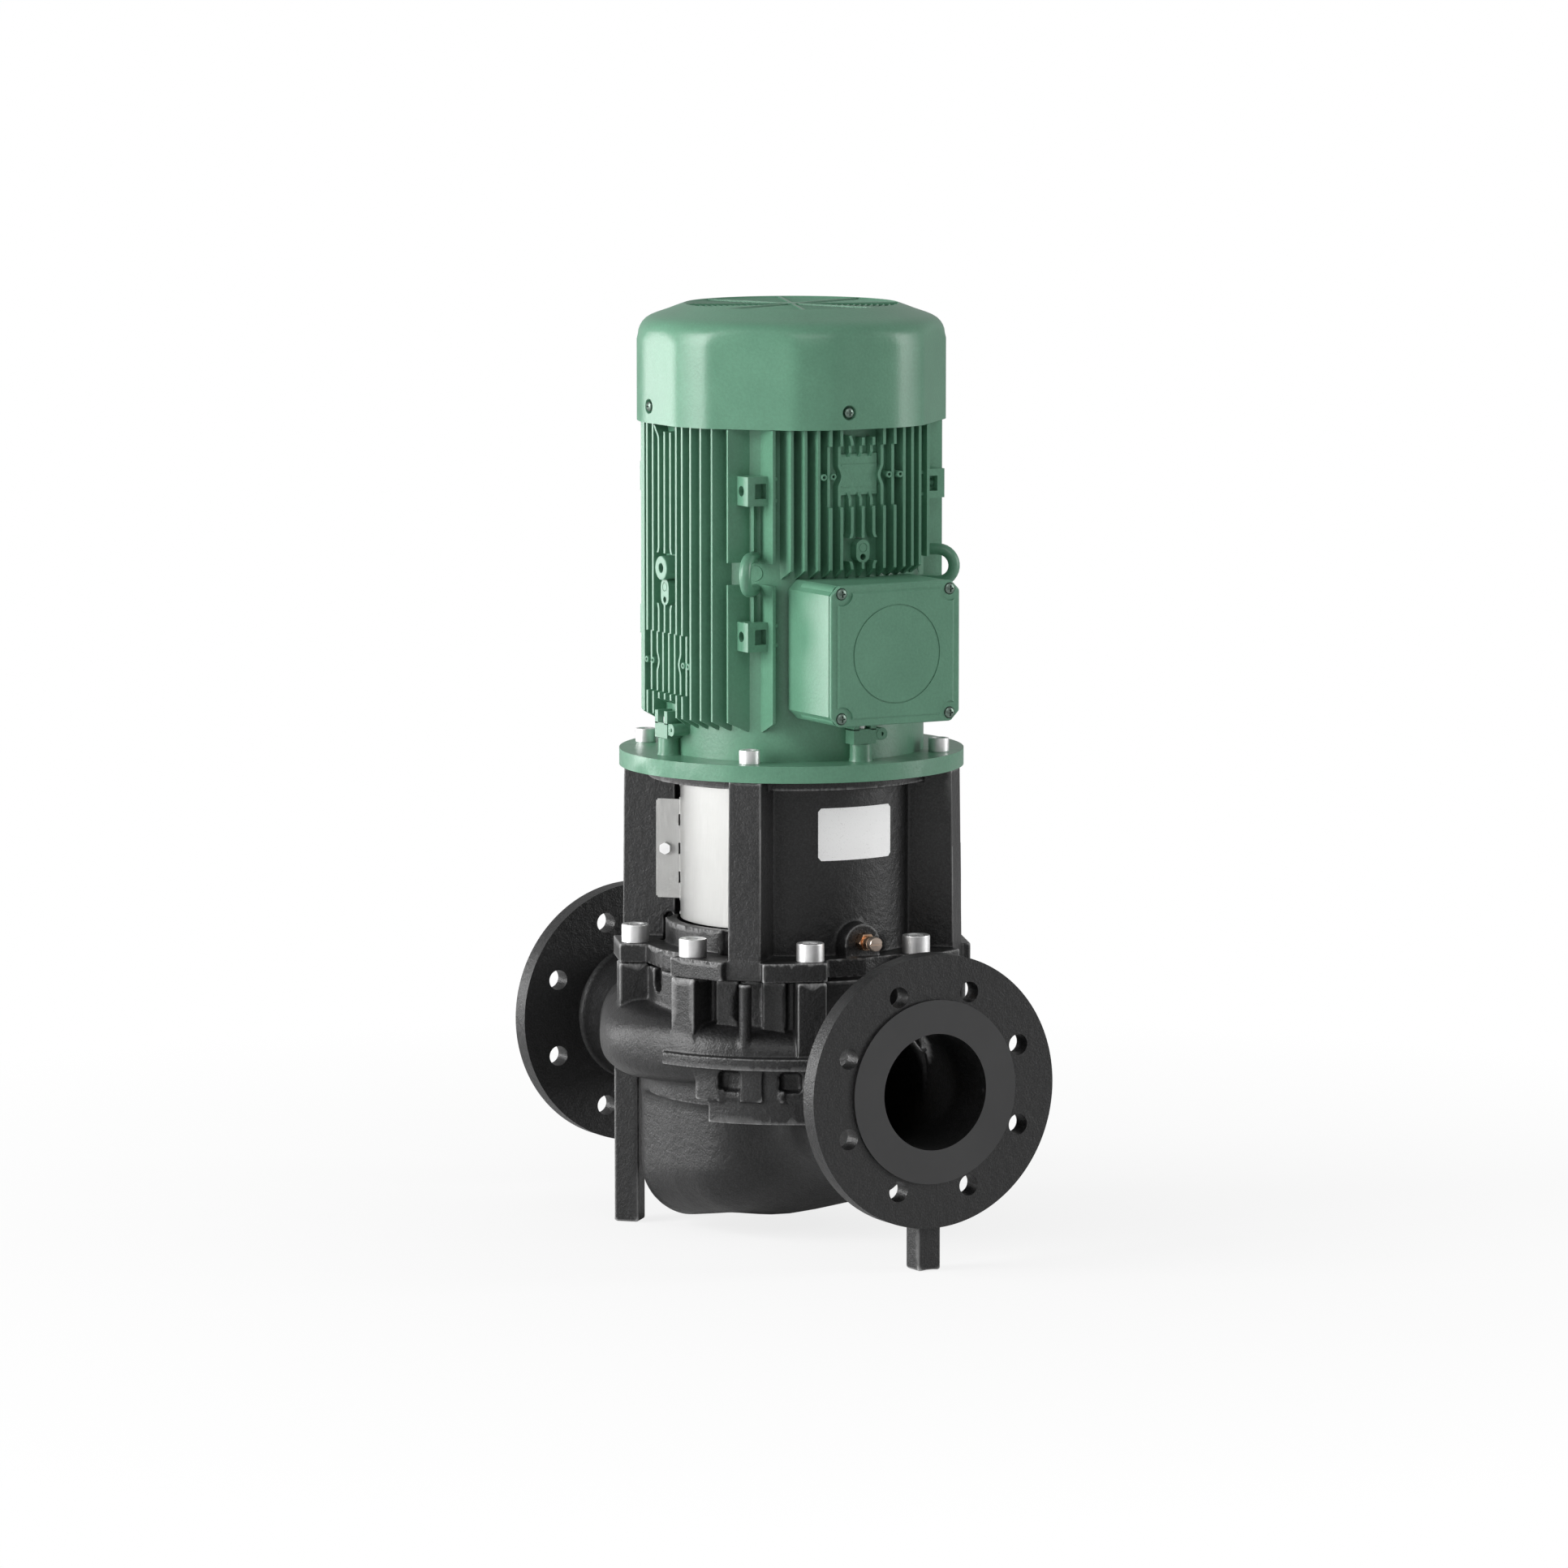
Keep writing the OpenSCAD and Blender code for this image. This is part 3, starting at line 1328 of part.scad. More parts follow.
module cover_section(inset) {
    polygon([
        [0, cover_low_z - cut],
        [cover_r + 5, cover_low_z - cut],
        [cover_r + 5 - inset, cover_top_z - 27],
        [cover_r - 1.5 - inset, cover_top_z - 22],
        [cover_r - 5.5 - inset, cover_top_z - 15.5],
        [cover_r - 11.5 - inset, cover_top_z - 10.7 - inset],
        [grille_r + 16, cover_top_z - 5 - inset],
        [grille_r, cover_top_z - inset],
        [0, cover_top_z - inset]
    ]);
}

module cover_shape(inset) {
    intersection() {
        translate([0, 0, cover_low_z]) linear_extrude(cover_h + cut) cover_outline(inset);
        rotate_extrude() cover_section(inset);
    }
}

module fan_cover_screw_places() {
    for (side = side_angles)
        rotate([0, 0, side]) translate([cover_r - 4.5, -17, cover_low_z + 14.4])
            rotate([0, 90, 0]) children();
}

grille_rings = 6;
grille_spokes = 8;

module fan_cover() {
    color(green) from_suction_flange() difference() {
        union() {
            difference() {
                cover_shape(0);
                translate([0, 0, -0.5]) cover_shape(cover_wall);
            }
            fan_cover_screw_places() translate([0, 0, -14.5]) cylinder(r = 5.5, h = 15.5);
        }
        fan_cover_screw_places() {
            translate([0, 0, -16]) cylinder(r = 2.5 + hole_play, h = 20);
            translate([0, 0, -1]) cylinder(r = 5.2, h = 20);
        }
        for (i = [0 : grille_rings - 1], k = [0 : grille_spokes - 1])
            sector(grille_r - 4 - 14 * i, grille_r - 13 - 14 * i, cover_top_z - 8, cover_top_z + cut,
                k * 360 / grille_spokes + 4, 360 / grille_spokes - 8);
    }
}

module fan_cover_screws() {
    color(steel) from_suction_flange() fan_cover_screw_places()
        translate([0, 0, -0.9]) pan_screw(8.5, 5, 22);
}

// Octagonal plate outline of the box, seen along the shaft's side
module box_outline(inset) {
    w = box_w / 2 - inset;
    h = box_h / 2 - inset;
    c = box_corner;
    polygon([
        [-h, -w + c], [-h + c, -w], [h - c, -w], [h, -w + c],
        [h, w - c], [h - c, w], [-h + c, w], [-h, w - c]
    ]);
}

// Extrudes an outline along +X from the shaft, at the box's height
module along_box(from, to) {
    translate([from, 0, box_z]) rotate([0, 90, 0]) linear_extrude(to - from) children();
}

module lid_screw_places() {
    for (y = [-lid_screw_y, lid_screw_y], z = [-lid_screw_z, lid_screw_z])
        translate([0, y, box_z + z]) rotate([0, 90, 0]) children();
}

module gland_places() {
    for (z = [-entry_half_pitch, entry_half_pitch])
        translate([entry_x, box_w / 2, box_z + z]) rotate([-90, 0, 0]) children();
}

module terminal_box() {
    color(green) from_suction_flange() difference() {
        union() {
            difference() {
                along_box(frame_r - 12, box_front_r) box_outline(0);
                along_box(frame_r - 13, box_front_r + cut) box_outline(box_wall);
            }
            difference() {
                along_box(frame_r - 12, box_back_r) box_outline(1);
                radial_block(frame_r - 20, frame_r + 12, 44, box_z - 22, box_z + 22);
            }
            intersection() {
                lid_screw_places() translate([0, 0, box_back_r - cut])
                    cylinder(r = 7.5, h = box_front_r - box_back_r + cut);
                along_box(frame_r, box_front_r) box_outline(0);
            }
        }
        post(frame_r + 2.3, box_low_z - 20, box_low_z + box_h + 20);
        radial_block(frame_r - 6, frame_r + 2.3, 98, box_low_z, box_low_z + box_h);
        lid_screw_places() translate([0, 0, box_front_r - 20]) cylinder(r = 2.5 + slip, h = 22);
        gland_places() translate([0, 0, -box_wall - cut]) cylinder(r = entry_r, h = box_wall + 3 * cut);
    }
}

module terminal_box_gasket() {
    color("#222222") from_suction_flange() difference() {
        along_box(box_front_r + 0.02, lid_back_r - 0.02) box_outline(0.5);
        along_box(box_front_r - cut, lid_back_r + cut) box_outline(box_wall + 6);
        lid_screw_places() translate([0, 0, box_front_r - cut])
            cylinder(r = 2.5 + hole_play, h = 2 * gasket_t + 2 * cut);
    }
}

module terminal_box_lid() {
    color(green) from_suction_flange() difference() {
        union() {
            along_box(lid_back_r, box_face_r - 1.5) box_outline(-0.8);
            difference() {
                along_box(box_face_r - 2.5, box_face_r) box_outline(4);
                lid_screw_places() translate([0, 0, box_face_r - 1.5]) cylinder(r = 9, h = 4);
            }
        }
        translate([box_face_r - 0.8, 0, box_z]) rotate([0, 90, 0]) ring(42.8, 41.6, 0, 2);
        lid_screw_places() translate([0, 0, lid_back_r - cut])
            cylinder(r = 2.5 + hole_play, h = lid_t + 2 * cut);
        lid_screw_places() translate([0, 0, box_face_r - 3.5]) cylinder(r = 5.6, h = 6);
    }
}

module terminal_lid_screws() {
    color(steel) from_suction_flange() lid_screw_places()
        translate([0, 0, box_face_r - 3.48]) pan_screw(9.5, 5, 20);
}

stud_places = [-15, 0, 15];

module terminal_block() {
    base = box_back_r;
    color("#2b2b2b") from_suction_flange() difference() {
        translate([base + 0.02, -27, box_z - 24]) cube([14, 54, 48]);
        terminal_stud_places() translate([0, 0, base + 4]) cylinder(r = 2.5 + seat, h = 20);
    }
}

module terminal_stud_places() {
    for (y = stud_places, z = [-12, 12])
        translate([0, y, box_z + z]) rotate([0, 90, 0]) children();
}

module terminal_studs() {
    base = box_back_r;
    color("#c9a44c") from_suction_flange() terminal_stud_places() {
        translate([0, 0, base + 4.1]) cylinder(r = 2.5, h = 24);
        translate([0, 0, base + 14.05]) cylinder(r = 4.5, h = 4, $fn = 6);
    }
}

module gland_plugs() {
    color("#2b2b2b") from_suction_flange() gland_places() {
        translate([0, 0, -box_wall - 2]) cylinder(r = entry_r - slip, h = box_wall + 3);
        translate([0, 0, 0.02]) cylinder(r = entry_r + 3, h = 5, $fn = 6);
    }
}

pump_casing();
casing_wear_ring();
lantern();
cover_o_ring();
lantern_screws();
left_coupling_guard();
right_coupling_guard();
guard_screws();
rating_plate();
vent_valve_body();
vent_screw();
seal_seat();
seal_seat_o_ring();
seal_face_ring();
seal_bellows();
seal_spring();
pump_shaft();
impeller();
impeller_key();
impeller_washer();
impeller_nut();
coupling_half_a();
coupling_half_b();
coupling_screws();
motor_shaft();
shaft_v_ring();
rotor_core();
rotor_end_rings();
drive_end_inner_ring();
drive_end_outer_ring();
drive_end_cage();
drive_end_balls();
fan_end_inner_ring();
fan_end_outer_ring();
fan_end_cage();
fan_end_balls();
wave_spring();
drive_end_shield();
motor_flange_screws();
frame_screws();
stator_frame();
lifting_eyes();
stator_core();
stator_windings();
fan_end_shield();
fan_shield_screws();
cooling_fan();
fan_circlip();
fan_cover();
fan_cover_screws();
terminal_box();
terminal_box_gasket();
terminal_box_lid();
terminal_lid_screws();
terminal_block();
terminal_studs();
gland_plugs();
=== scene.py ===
import json
import math
import bpy
import bmesh
import numpy as np
import openvdb
from mathutils import Matrix, Vector


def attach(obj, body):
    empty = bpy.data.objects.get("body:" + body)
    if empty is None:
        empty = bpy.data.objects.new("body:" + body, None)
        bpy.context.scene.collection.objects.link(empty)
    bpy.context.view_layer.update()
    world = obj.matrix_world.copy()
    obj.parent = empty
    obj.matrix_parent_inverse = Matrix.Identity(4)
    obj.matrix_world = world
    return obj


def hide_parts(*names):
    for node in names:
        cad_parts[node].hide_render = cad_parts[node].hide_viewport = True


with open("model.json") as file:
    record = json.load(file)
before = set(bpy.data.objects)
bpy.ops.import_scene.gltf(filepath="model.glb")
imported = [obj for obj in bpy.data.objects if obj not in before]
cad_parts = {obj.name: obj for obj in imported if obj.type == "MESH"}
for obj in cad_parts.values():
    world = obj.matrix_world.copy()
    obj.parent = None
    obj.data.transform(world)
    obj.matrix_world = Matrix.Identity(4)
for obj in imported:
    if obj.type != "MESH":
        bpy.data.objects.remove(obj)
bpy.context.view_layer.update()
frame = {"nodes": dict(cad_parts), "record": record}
NODES = frame["nodes"]

# Sizes here are in millimetres from the shaft axis and the pipe axis
ARM = 247.5
LEGS = (45, 135, 225, 315)
SIDES = (0, 90, 180, 270)
SUCTION_X, DISCHARGE_X = 250, -300
PORT_R, PLATE_R, BOLT_RING = 50, 117.5, 90
FOOT_Z, RIM_Z, COLUMN_TOP = -155, 81, 83.4
WINDOW_LOW, WINDOW_TOP, ADAPTER_TOP = 120.8, 245.5, 255.5
CASING_RING, LUG_TURN, MOTOR_RING = 137, 22.5, 132.5
VENT_Z = 114


def cosd(degrees):
    return math.cos(math.radians(degrees))


def sind(degrees):
    return math.sin(math.radians(degrees))


def spin(degrees, axis):
    return Matrix.Rotation(math.radians(degrees), 4, axis)


def shift(x, y, z):
    return Matrix.Translation((x, y, z))


def link(name, data):
    """New object in the scene."""
    o = bpy.data.objects.new(name, data)
    bpy.context.scene.collection.objects.link(o)
    return o


# Materials

def feed(nt, value, socket):
    """Constant on a socket, or a link into it."""
    if isinstance(value, (int, float)):
        socket.default_value = value
    elif isinstance(value, tuple):
        socket.default_value = (*value, 1)
    else:
        nt.links.new(value, socket)


def node(nt, kind, **values):
    """New node with its settings, and constants or links on its named sockets."""
    n = nt.nodes.new("ShaderNode" + kind)
    for key, value in values.items():
        if hasattr(n, key):
            setattr(n, key, value)
        else:
            feed(nt, value, n.inputs[key.replace("_", " ")])
    return n


def shader(name, base, rough, metal=0.0, **sockets):
    """Material with its constants, its node tree and the object's coordinates."""
    m = bpy.data.materials.new(name)
    m.use_nodes = True
    values = dict(Base_Color=base, Roughness=rough, Metallic=metal, **sockets)
    for key, value in values.items():
        feed(m.node_tree, value, m.node_tree.nodes["Principled BSDF"].inputs[key.replace("_", " ")])
    return m, m.node_tree, coords(m.node_tree)


def coords(nt, scale=(1, 1, 1)):
    mp = node(nt, "Mapping", Vector=node(nt, "TexCoord").outputs["Object"])
    mp.inputs["Scale"].default_value = scale
    return mp.outputs["Vector"]


def noise(nt, vec, scale, detail=3.0, rough=0.6):
    return node(nt, "TexNoise", Vector=vec, Scale=scale, Detail=detail,
                Roughness=rough).outputs["Fac"]


def ramp(nt, fac, *stops):
    r = node(nt, "ValToRGB", Fac=fac)
    for e, (position, colour) in zip(r.color_ramp.elements, stops):
        e.position = position
        e.color = (*colour, 1)
    return r.outputs["Color"]


def mixed(nt, fac, a, b, kind="MIX"):
    m = node(nt, "Mix", data_type="RGBA", blend_type=kind)
    for value, socket in ((fac, m.inputs["Factor"]), (a, m.inputs[6]), (b, m.inputs[7])):
        feed(nt, value, socket)
    return m.outputs[2]


def calc(nt, op, *values, clamp=False):
    m = node(nt, "Math", operation=op, use_clamp=clamp)
    for value, socket in zip(values, m.inputs):
        feed(nt, value, socket)
    return m.outputs[0]


def spread(nt, value, low, high):
    return node(nt, "MapRange", Value=value, To_Min=low, To_Max=high).outputs["Result"]


def surface(m, tone, rough, height, strength, distance):
    """Feed the shader's colour, roughness and bump."""
    nt = m.node_tree
    bump = node(nt, "Bump", Height=height, Strength=strength, Distance=distance)
    b = nt.nodes["Principled BSDF"].inputs
    feed(nt, tone, b["Base Color"])
    feed(nt, rough, b["Roughness"])
    feed(nt, bump.outputs["Normal"], b["Normal"])
    return m


def cast_paint(name, edges):
    """Black paint over rough sand-cast iron, with a painted highlight in light grey along the sharp edges.
    """
    m, nt, v = shader(name, (0.022, 0.022, 0.023), 0.5, Specular_IOR_Level=0.55)
    grain = noise(nt, v, 620, 2.0, 0.55)
    swell = noise(nt, v, 150, 2.0, 0.5)
    cloud = noise(nt, v, 22)
    speck = ramp(nt, grain, (0.42, (0.006, 0.006, 0.006)), (0.74, (0.028, 0.028, 0.029)))
    tone = mixed(nt, spread(nt, cloud, 0.0, 0.35), speck, (0.013, 0.013, 0.014))
    if edges:
        # Painted highlight: light grey on the sharp convex edges, broken up by noise, standing in for light
        # caught by the edges.
        at = node(nt, "Attribute", attribute_name="edge")
        edge_highlight = calc(nt, "MULTIPLY", at.outputs["Fac"], spread(nt, swell, 0.55, 1.35), clamp=True)
        tone = mixed(nt, edge_highlight, tone, (0.44, 0.44, 0.44))
    high = calc(nt, "ADD", calc(nt, "MULTIPLY", grain, 0.6), swell)
    return surface(m, tone, spread(nt, cloud, 0.36, 0.50), high, 0.55, 0.0011)


def green_paint(name):
    """Satin enamel with the fine texture of sprayed powder paint."""
    m, nt, v = shader(name, (0.115, 0.285, 0.185), 0.42, Coat_Weight=0.12, Coat_Roughness=0.3)
    peel = noise(nt, v, 420, 2.0, 0.5)
    cloud = noise(nt, v, 16)
    tone = ramp(nt, cloud, (0.3, (0.105, 0.262, 0.170)), (0.7, (0.124, 0.300, 0.196)))
    fleck = ramp(nt, peel, (0.35, (0.88, 0.88, 0.88)), (0.7, (1.08, 1.08, 1.08)))
    tone = mixed(nt, 0.5, tone, mixed(nt, 1.0, tone, fleck, "MULTIPLY"))
    return surface(m, tone, spread(nt, cloud, 0.31, 0.39), peel, 0.3, 0.0006)


def turned_metal(name, base, rough, stretch=(1, 1, 90), strength=0.12):
    """Metal with fine lines left by turning, rolling or brushing."""
    m, nt, v = shader(name, base, rough, 1.0)
    line = noise(nt, coords(nt, stretch), 60)
    tone = ramp(nt, line, (0.25, tuple(c * 0.82 for c in base)), (0.75, base))
    cloud = spread(nt, noise(nt, v, 30), rough * 0.8, rough * 1.2)
    return surface(m, tone, cloud, line, strength, 0.0003)


def soft_black(name, base, rough, scale=380):
    """Moulded rubber, plastic or film with a fine skin."""
    m, nt, v = shader(name, base, rough)
    skin = noise(nt, v, scale)
    tone = ramp(nt, skin, (0.3, tuple(c * 0.7 for c in base)), (0.7, base))
    return surface(m, tone, spread(nt, skin, rough * 0.85, rough * 1.15), skin, 0.2, 0.0004)


def face_iron(name):
    """Machined sealing face of the flanges, with the lines of the facing cut."""
    m, nt, v = shader(name, (0.055, 0.056, 0.058), 0.55)
    cloud = noise(nt, v, 14, 3.0, 0.55)
    tone = ramp(nt, cloud, (0.3, (0.040, 0.040, 0.041)), (0.7, (0.048, 0.048, 0.049)))
    return surface(m, tone, spread(nt, cloud, 0.5, 0.62), noise(nt, v, 900, 2.0, 0.5), 0.06, 0.0002)


PLAIN = (1, 1, 1)
CAST = cast_paint("cast_black", True)
CAST_PLAIN = cast_paint("cast_black_plain", False)
FACE = face_iron("machined_face")
DULL = turned_metal("dull_screw", (0.20, 0.27, 0.23), 0.4, PLAIN, 0.05)
VALVE_END = turned_metal("valve_end", (0.95, 0.78, 0.66), 0.34, (20, 1, 1), 0.03)
BARE_IRON = turned_metal("machined_iron", (0.30, 0.31, 0.32), 0.42)
PLATE = soft_black("plate_film", (0.97, 0.97, 0.97), 0.42, 700)
# Painted light: the plate glows faintly white so that it stays bright in the shade.
plate_sockets = PLATE.node_tree.nodes["Principled BSDF"].inputs
plate_sockets["Emission Color"].default_value = (1, 1, 1, 1)
plate_sockets["Emission Strength"].default_value = 0.2

MATERIAL_OF = {
    "casing_paint": CAST_PLAIN,
    "motor_paint": green_paint("motor_green"),
    "screw_steel": turned_metal("zinc_screw", (0.90, 0.90, 0.90), 0.46, PLAIN, 0.05),
    "guard_sheet": turned_metal("guard_stainless", (0.44, 0.44, 0.43), 0.32, (140, 140, 1), 0.35),
    "shaft_steel": turned_metal("ground_steel", (0.62, 0.63, 0.65), 0.25),
    "bearing_steel": turned_metal("bearing_steel", (0.80, 0.81, 0.82), 0.14, (1, 1, 30), 0.03),
    "cage_brass": turned_metal("cage_brass", (0.72, 0.55, 0.28), 0.3),
    "wear_bronze": turned_metal("bronze", (0.62, 0.40, 0.20), 0.34),
    "valve_brass": turned_metal("valve_brass", (0.86, 0.58, 0.40), 0.22, (20, 1, 1), 0.05),
    "impeller_iron": BARE_IRON,
    "coupling_iron": BARE_IRON,
    "core_steel": turned_metal("stacked_sheet", (0.36, 0.37, 0.39), 0.4, (1, 1, 300), 0.35),
    "end_ring_aluminium": turned_metal("cast_aluminium", (0.78, 0.79, 0.80), 0.4),
    "winding_copper": turned_metal("winding_copper", (0.62, 0.27, 0.12), 0.36, (50, 50, 300), 0.6),
    "rubber_black": soft_black("moulded_rubber", (0.018, 0.018, 0.018), 0.6),
    "carbon": soft_black("lapped_carbon", (0.03, 0.03, 0.03), 0.28),
    "seat_ceramic": soft_black("lapped_ceramic", (0.72, 0.68, 0.60), 0.2),
    "black_plastic": soft_black("black_plastic", (0.028, 0.028, 0.030), 0.42),
    "plate_white": PLATE,
}
SLOT_OF = {s["node"]: s["material_slot"] for s in frame["record"]["subparts"]}
for name, obj in NODES.items():
    obj.data.materials.clear()
    obj.data.materials.append(MATERIAL_OF[SLOT_OF[name]])


# Solid fields: signed distances on a grid, blended like the fillets of a casting

class Field:
    def __init__(self, low, high, step):
        self.h = step
        self.low = np.array(low, float)
        n = np.ceil((np.array(high, float) - self.low) / step).astype(int) + 1
        self.x, self.y, self.z = (
            (self.low[i] + step * np.arange(n[i])).astype(np.float32) for i in range(3))
        self.d = np.full(tuple(n), 1e3, np.float32)

    def part(self, low, high):
        """Slices of the grid inside some bounds, and their coordinates."""
        cut = []
        for axis, lo, hi in zip((self.x, self.y, self.z), low, high):
            a, b = np.searchsorted(axis, [lo, hi])
            cut.append(slice(max(a - 1, 0), min(b + 1, len(axis))))
        return (tuple(cut), self.x[cut[0]][:, None, None], self.y[cut[1]][None, :, None],
                self.z[cut[2]][None, None, :])

    def add(self, shape, low, high, k=0.0, sign=1):
        """Join a shape, blended over k; sign -1 takes it away."""
        m = k + 3 * self.h
        cut, X, Y, Z = self.part([v - m for v in low], [v + m for v in high])
        d, e = sign * self.d[cut], shape(X, Y, Z)
        out = np.minimum(d, e)
        if k > 0:
            w = np.maximum(k - np.abs(d - e), 0) / k
            out = out - w * w * (k / 4)
        self.d[cut] = sign * out

    def cut(self, shape, low, high, k=0.0):
        self.add(shape, low, high, k, -1)

    def sample(self, a, p):
        """Values of grid a at points p."""
        q = (p - self.low) / self.h
        i = np.clip(np.floor(q).astype(int), 0, np.array(a.shape) - 2)
        f = np.clip(q - i, 0, 1)
        out = 0
        for corner in np.ndindex(2, 2, 2):
            out = out + np.where(corner, f, 1 - f).prod(1) * a[tuple((i + corner).T)]
        return out

    def surface(self, flat):
        """Points, faces, normals and how sharp each point's edge is."""
        reach = 4 * self.h
        d = np.clip(self.d, -reach, reach)
        d[0], d[-1], d[:, 0], d[:, -1], d[:, :, 0], d[:, :, -1] = (reach,) * 6
        g = openvdb.FloatGrid(reach)
        g.copyFromArray(np.ascontiguousarray(d, dtype=np.float32))
        pts, tris, quads = g.convertToPolygons(0.0, flat)
        p = pts.astype(float) * self.h + self.low
        soft = d
        for axis in range(3):
            s = np.moveaxis(soft, axis, 0)
            t = s.copy()
            t[2:-2] = (s[:-4] + 2 * s[1:-3] + 3 * s[2:-2] + 2 * s[3:-1] + s[4:]) / 9
            soft = np.moveaxis(t, 0, axis)
        edge = np.clip(self.sample(soft, p) / self.h, -1, 1)
        e = 0.6 * self.h
        nrm = np.stack([self.sample(d, p + e * np.eye(3)[i]) - self.sample(d, p - e * np.eye(3)[i])
                        for i in range(3)], 1)
        nrm /= np.maximum(np.linalg.norm(nrm, axis=1, keepdims=True), 1e-9)
        return p, tris.tolist() + quads.tolist(), nrm, edge


def depth(*q):
    """Signed distance to a block or a rod from the distances to its faces."""
    inside = q[0]
    for a in q[1:]:
        inside = np.maximum(inside, a)
    return np.sqrt(sum(np.maximum(a, 0) ** 2 for a in q)) + np.minimum(inside, 0)


def slab(v, v0, v1):
    return np.abs(v - (v0 + v1) / 2) - (v1 - v0) / 2


def at_angle(angle, u, t=0):
    """Point u out and t across in direction angle."""
    c, s = cosd(angle), sind(angle)
    return u * c - t * s, u * s + t * c


def box_at(angle, u0, u1, t0, t1, z0, z1, r=0.0):
    """Upright block between radii u0 and u1 and offsets t0 and t1 in direction angle."""
    c, s = cosd(angle), sind(angle)

    def shape(X, Y, Z):
        return depth(slab(X * c + Y * s, u0, u1) + r, slab(-X * s + Y * c, t0, t1) + r,
                     slab(Z, z0, z1) + r) - r
    xs, ys = zip(*(at_angle(angle, u, t) for u in (u0, u1) for t in (t0, t1)))
    return shape, (min(xs), min(ys), z0), (max(xs), max(ys), z1)


def tube_z(r1, r0, z0, z1, at=(0, 0)):
    """Upright tube, or a rod when the inner radius is 0."""
    def shape(X, Y, Z):
        rho = np.sqrt((X - at[0]) ** 2 + (Y - at[1]) ** 2)
        return depth(rho - r1 if r0 <= 0 else slab(rho, r0, r1), slab(Z, z0, z1))
    return shape, (at[0] - r1, at[1] - r1, z0), (at[0] + r1, at[1] + r1, z1)


def rod_x(r, x0, x1, y=0.0, z=0.0):
    def shape(X, Y, Z):
        return depth(np.sqrt((Y - y) ** 2 + (Z - z) ** 2) - r, slab(X, x0, x1))
    return shape, (x0, y - r, z - r), (x1, y + r, z + r)


def tapered(a, b, r1, r2):
    """Round cone between two balls."""
    a, b = np.array(a, float), np.array(b, float)
    ba = b - a
    l2 = float(ba @ ba)

    def shape(X, Y, Z):
        d = [X - a[0], Y - a[1], Z - a[2]]
        t = np.clip((d[0] * ba[0] + d[1] * ba[1] + d[2] * ba[2]) / l2, 0, 1)
        return np.sqrt(sum((d[i] - t * ba[i]) ** 2 for i in range(3))) - (r1 + (r2 - r1) * t)
    r = max(r1, r2)
    return shape, tuple(np.minimum(a, b) - r), tuple(np.maximum(a, b) + r)


def sector_z(r1, r0, z0, z1, mid, half):
    """Part of an upright tube within half degrees of direction mid."""
    tube, low, high = tube_z(r1, r0, z0, z1)
    c, s = cosd(mid), sind(mid)

    def shape(X, Y, Z):
        across = np.abs(-X * s + Y * c) * cosd(half) - (X * c + Y * s) * sind(half)
        return np.maximum(tube(X, Y, Z), across)
    return shape, low, high


def outline_z(points, z0, z1):
    """Plate with the given outline."""
    P = np.array(points, float)
    Q = np.roll(P, -1, 0)

    def shape(X, Y, Z):
        d = np.full(np.broadcast(X[:, :, :1], Y[:, :, :1]).shape, 1e9, np.float32)
        inside = np.zeros(d.shape, bool)
        for (ax, ay), (bx, by) in zip(P, Q):
            ex, ey = bx - ax, by - ay
            wx, wy = X - ax, Y - ay
            t = np.clip((wx * ex + wy * ey) / (ex * ex + ey * ey), 0, 1)
            d = np.minimum(d, (wx - t * ex) ** 2 + (wy - t * ey) ** 2)
            if ey != 0:
                hit = ((ay > Y) != (by > Y)) & (X < (bx - ax) * (Y - ay) / (by - ay) + ax)
                inside ^= hit
        d = np.where(inside, -np.sqrt(d), np.sqrt(d))
        return np.maximum(d, slab(Z, z0, z1))
    return shape, (P[:, 0].min(), P[:, 1].min(), z0), (P[:, 0].max(), P[:, 1].max(), z1)


def chamber(inset):
    """Suction chamber: a bag rounded all over, its underside rising towards the port."""
    r = 47.0 - inset
    slope = math.tan(math.radians(10))

    def shape(X, Y, Z):
        zz = Z - np.clip(X + 55, 0, 110) * slope * np.clip((-Z - 20) / 80, 0, 1)
        across = np.abs(Y) - 66 + np.clip(X + 10, 0, 80) * 0.12
        return depth(np.abs(X + 18) - 37, across, np.abs(zz + 59) - 40) - r
    return shape, (-130, -145, -155), (125, 145, 50)


def volute(inset):
    """Spiral tube that widens the way the impeller turns."""
    def shape(X, Y, Z):
        a = np.degrees(np.arctan2(Y, X))
        rho = np.sqrt(X ** 2 + Y ** 2)
        r = np.clip(16 - 0.162 * a, 7, 45)
        mid = 130 - 0.054 * (a + 45)
        mid = np.where(a > 60, 130 - 0.054 * 105, mid)
        return np.sqrt((rho - mid) ** 2 + (Z - 17) ** 2) - (r - inset)
    return shape, (-182, -170, -32), (160, 160, 66)


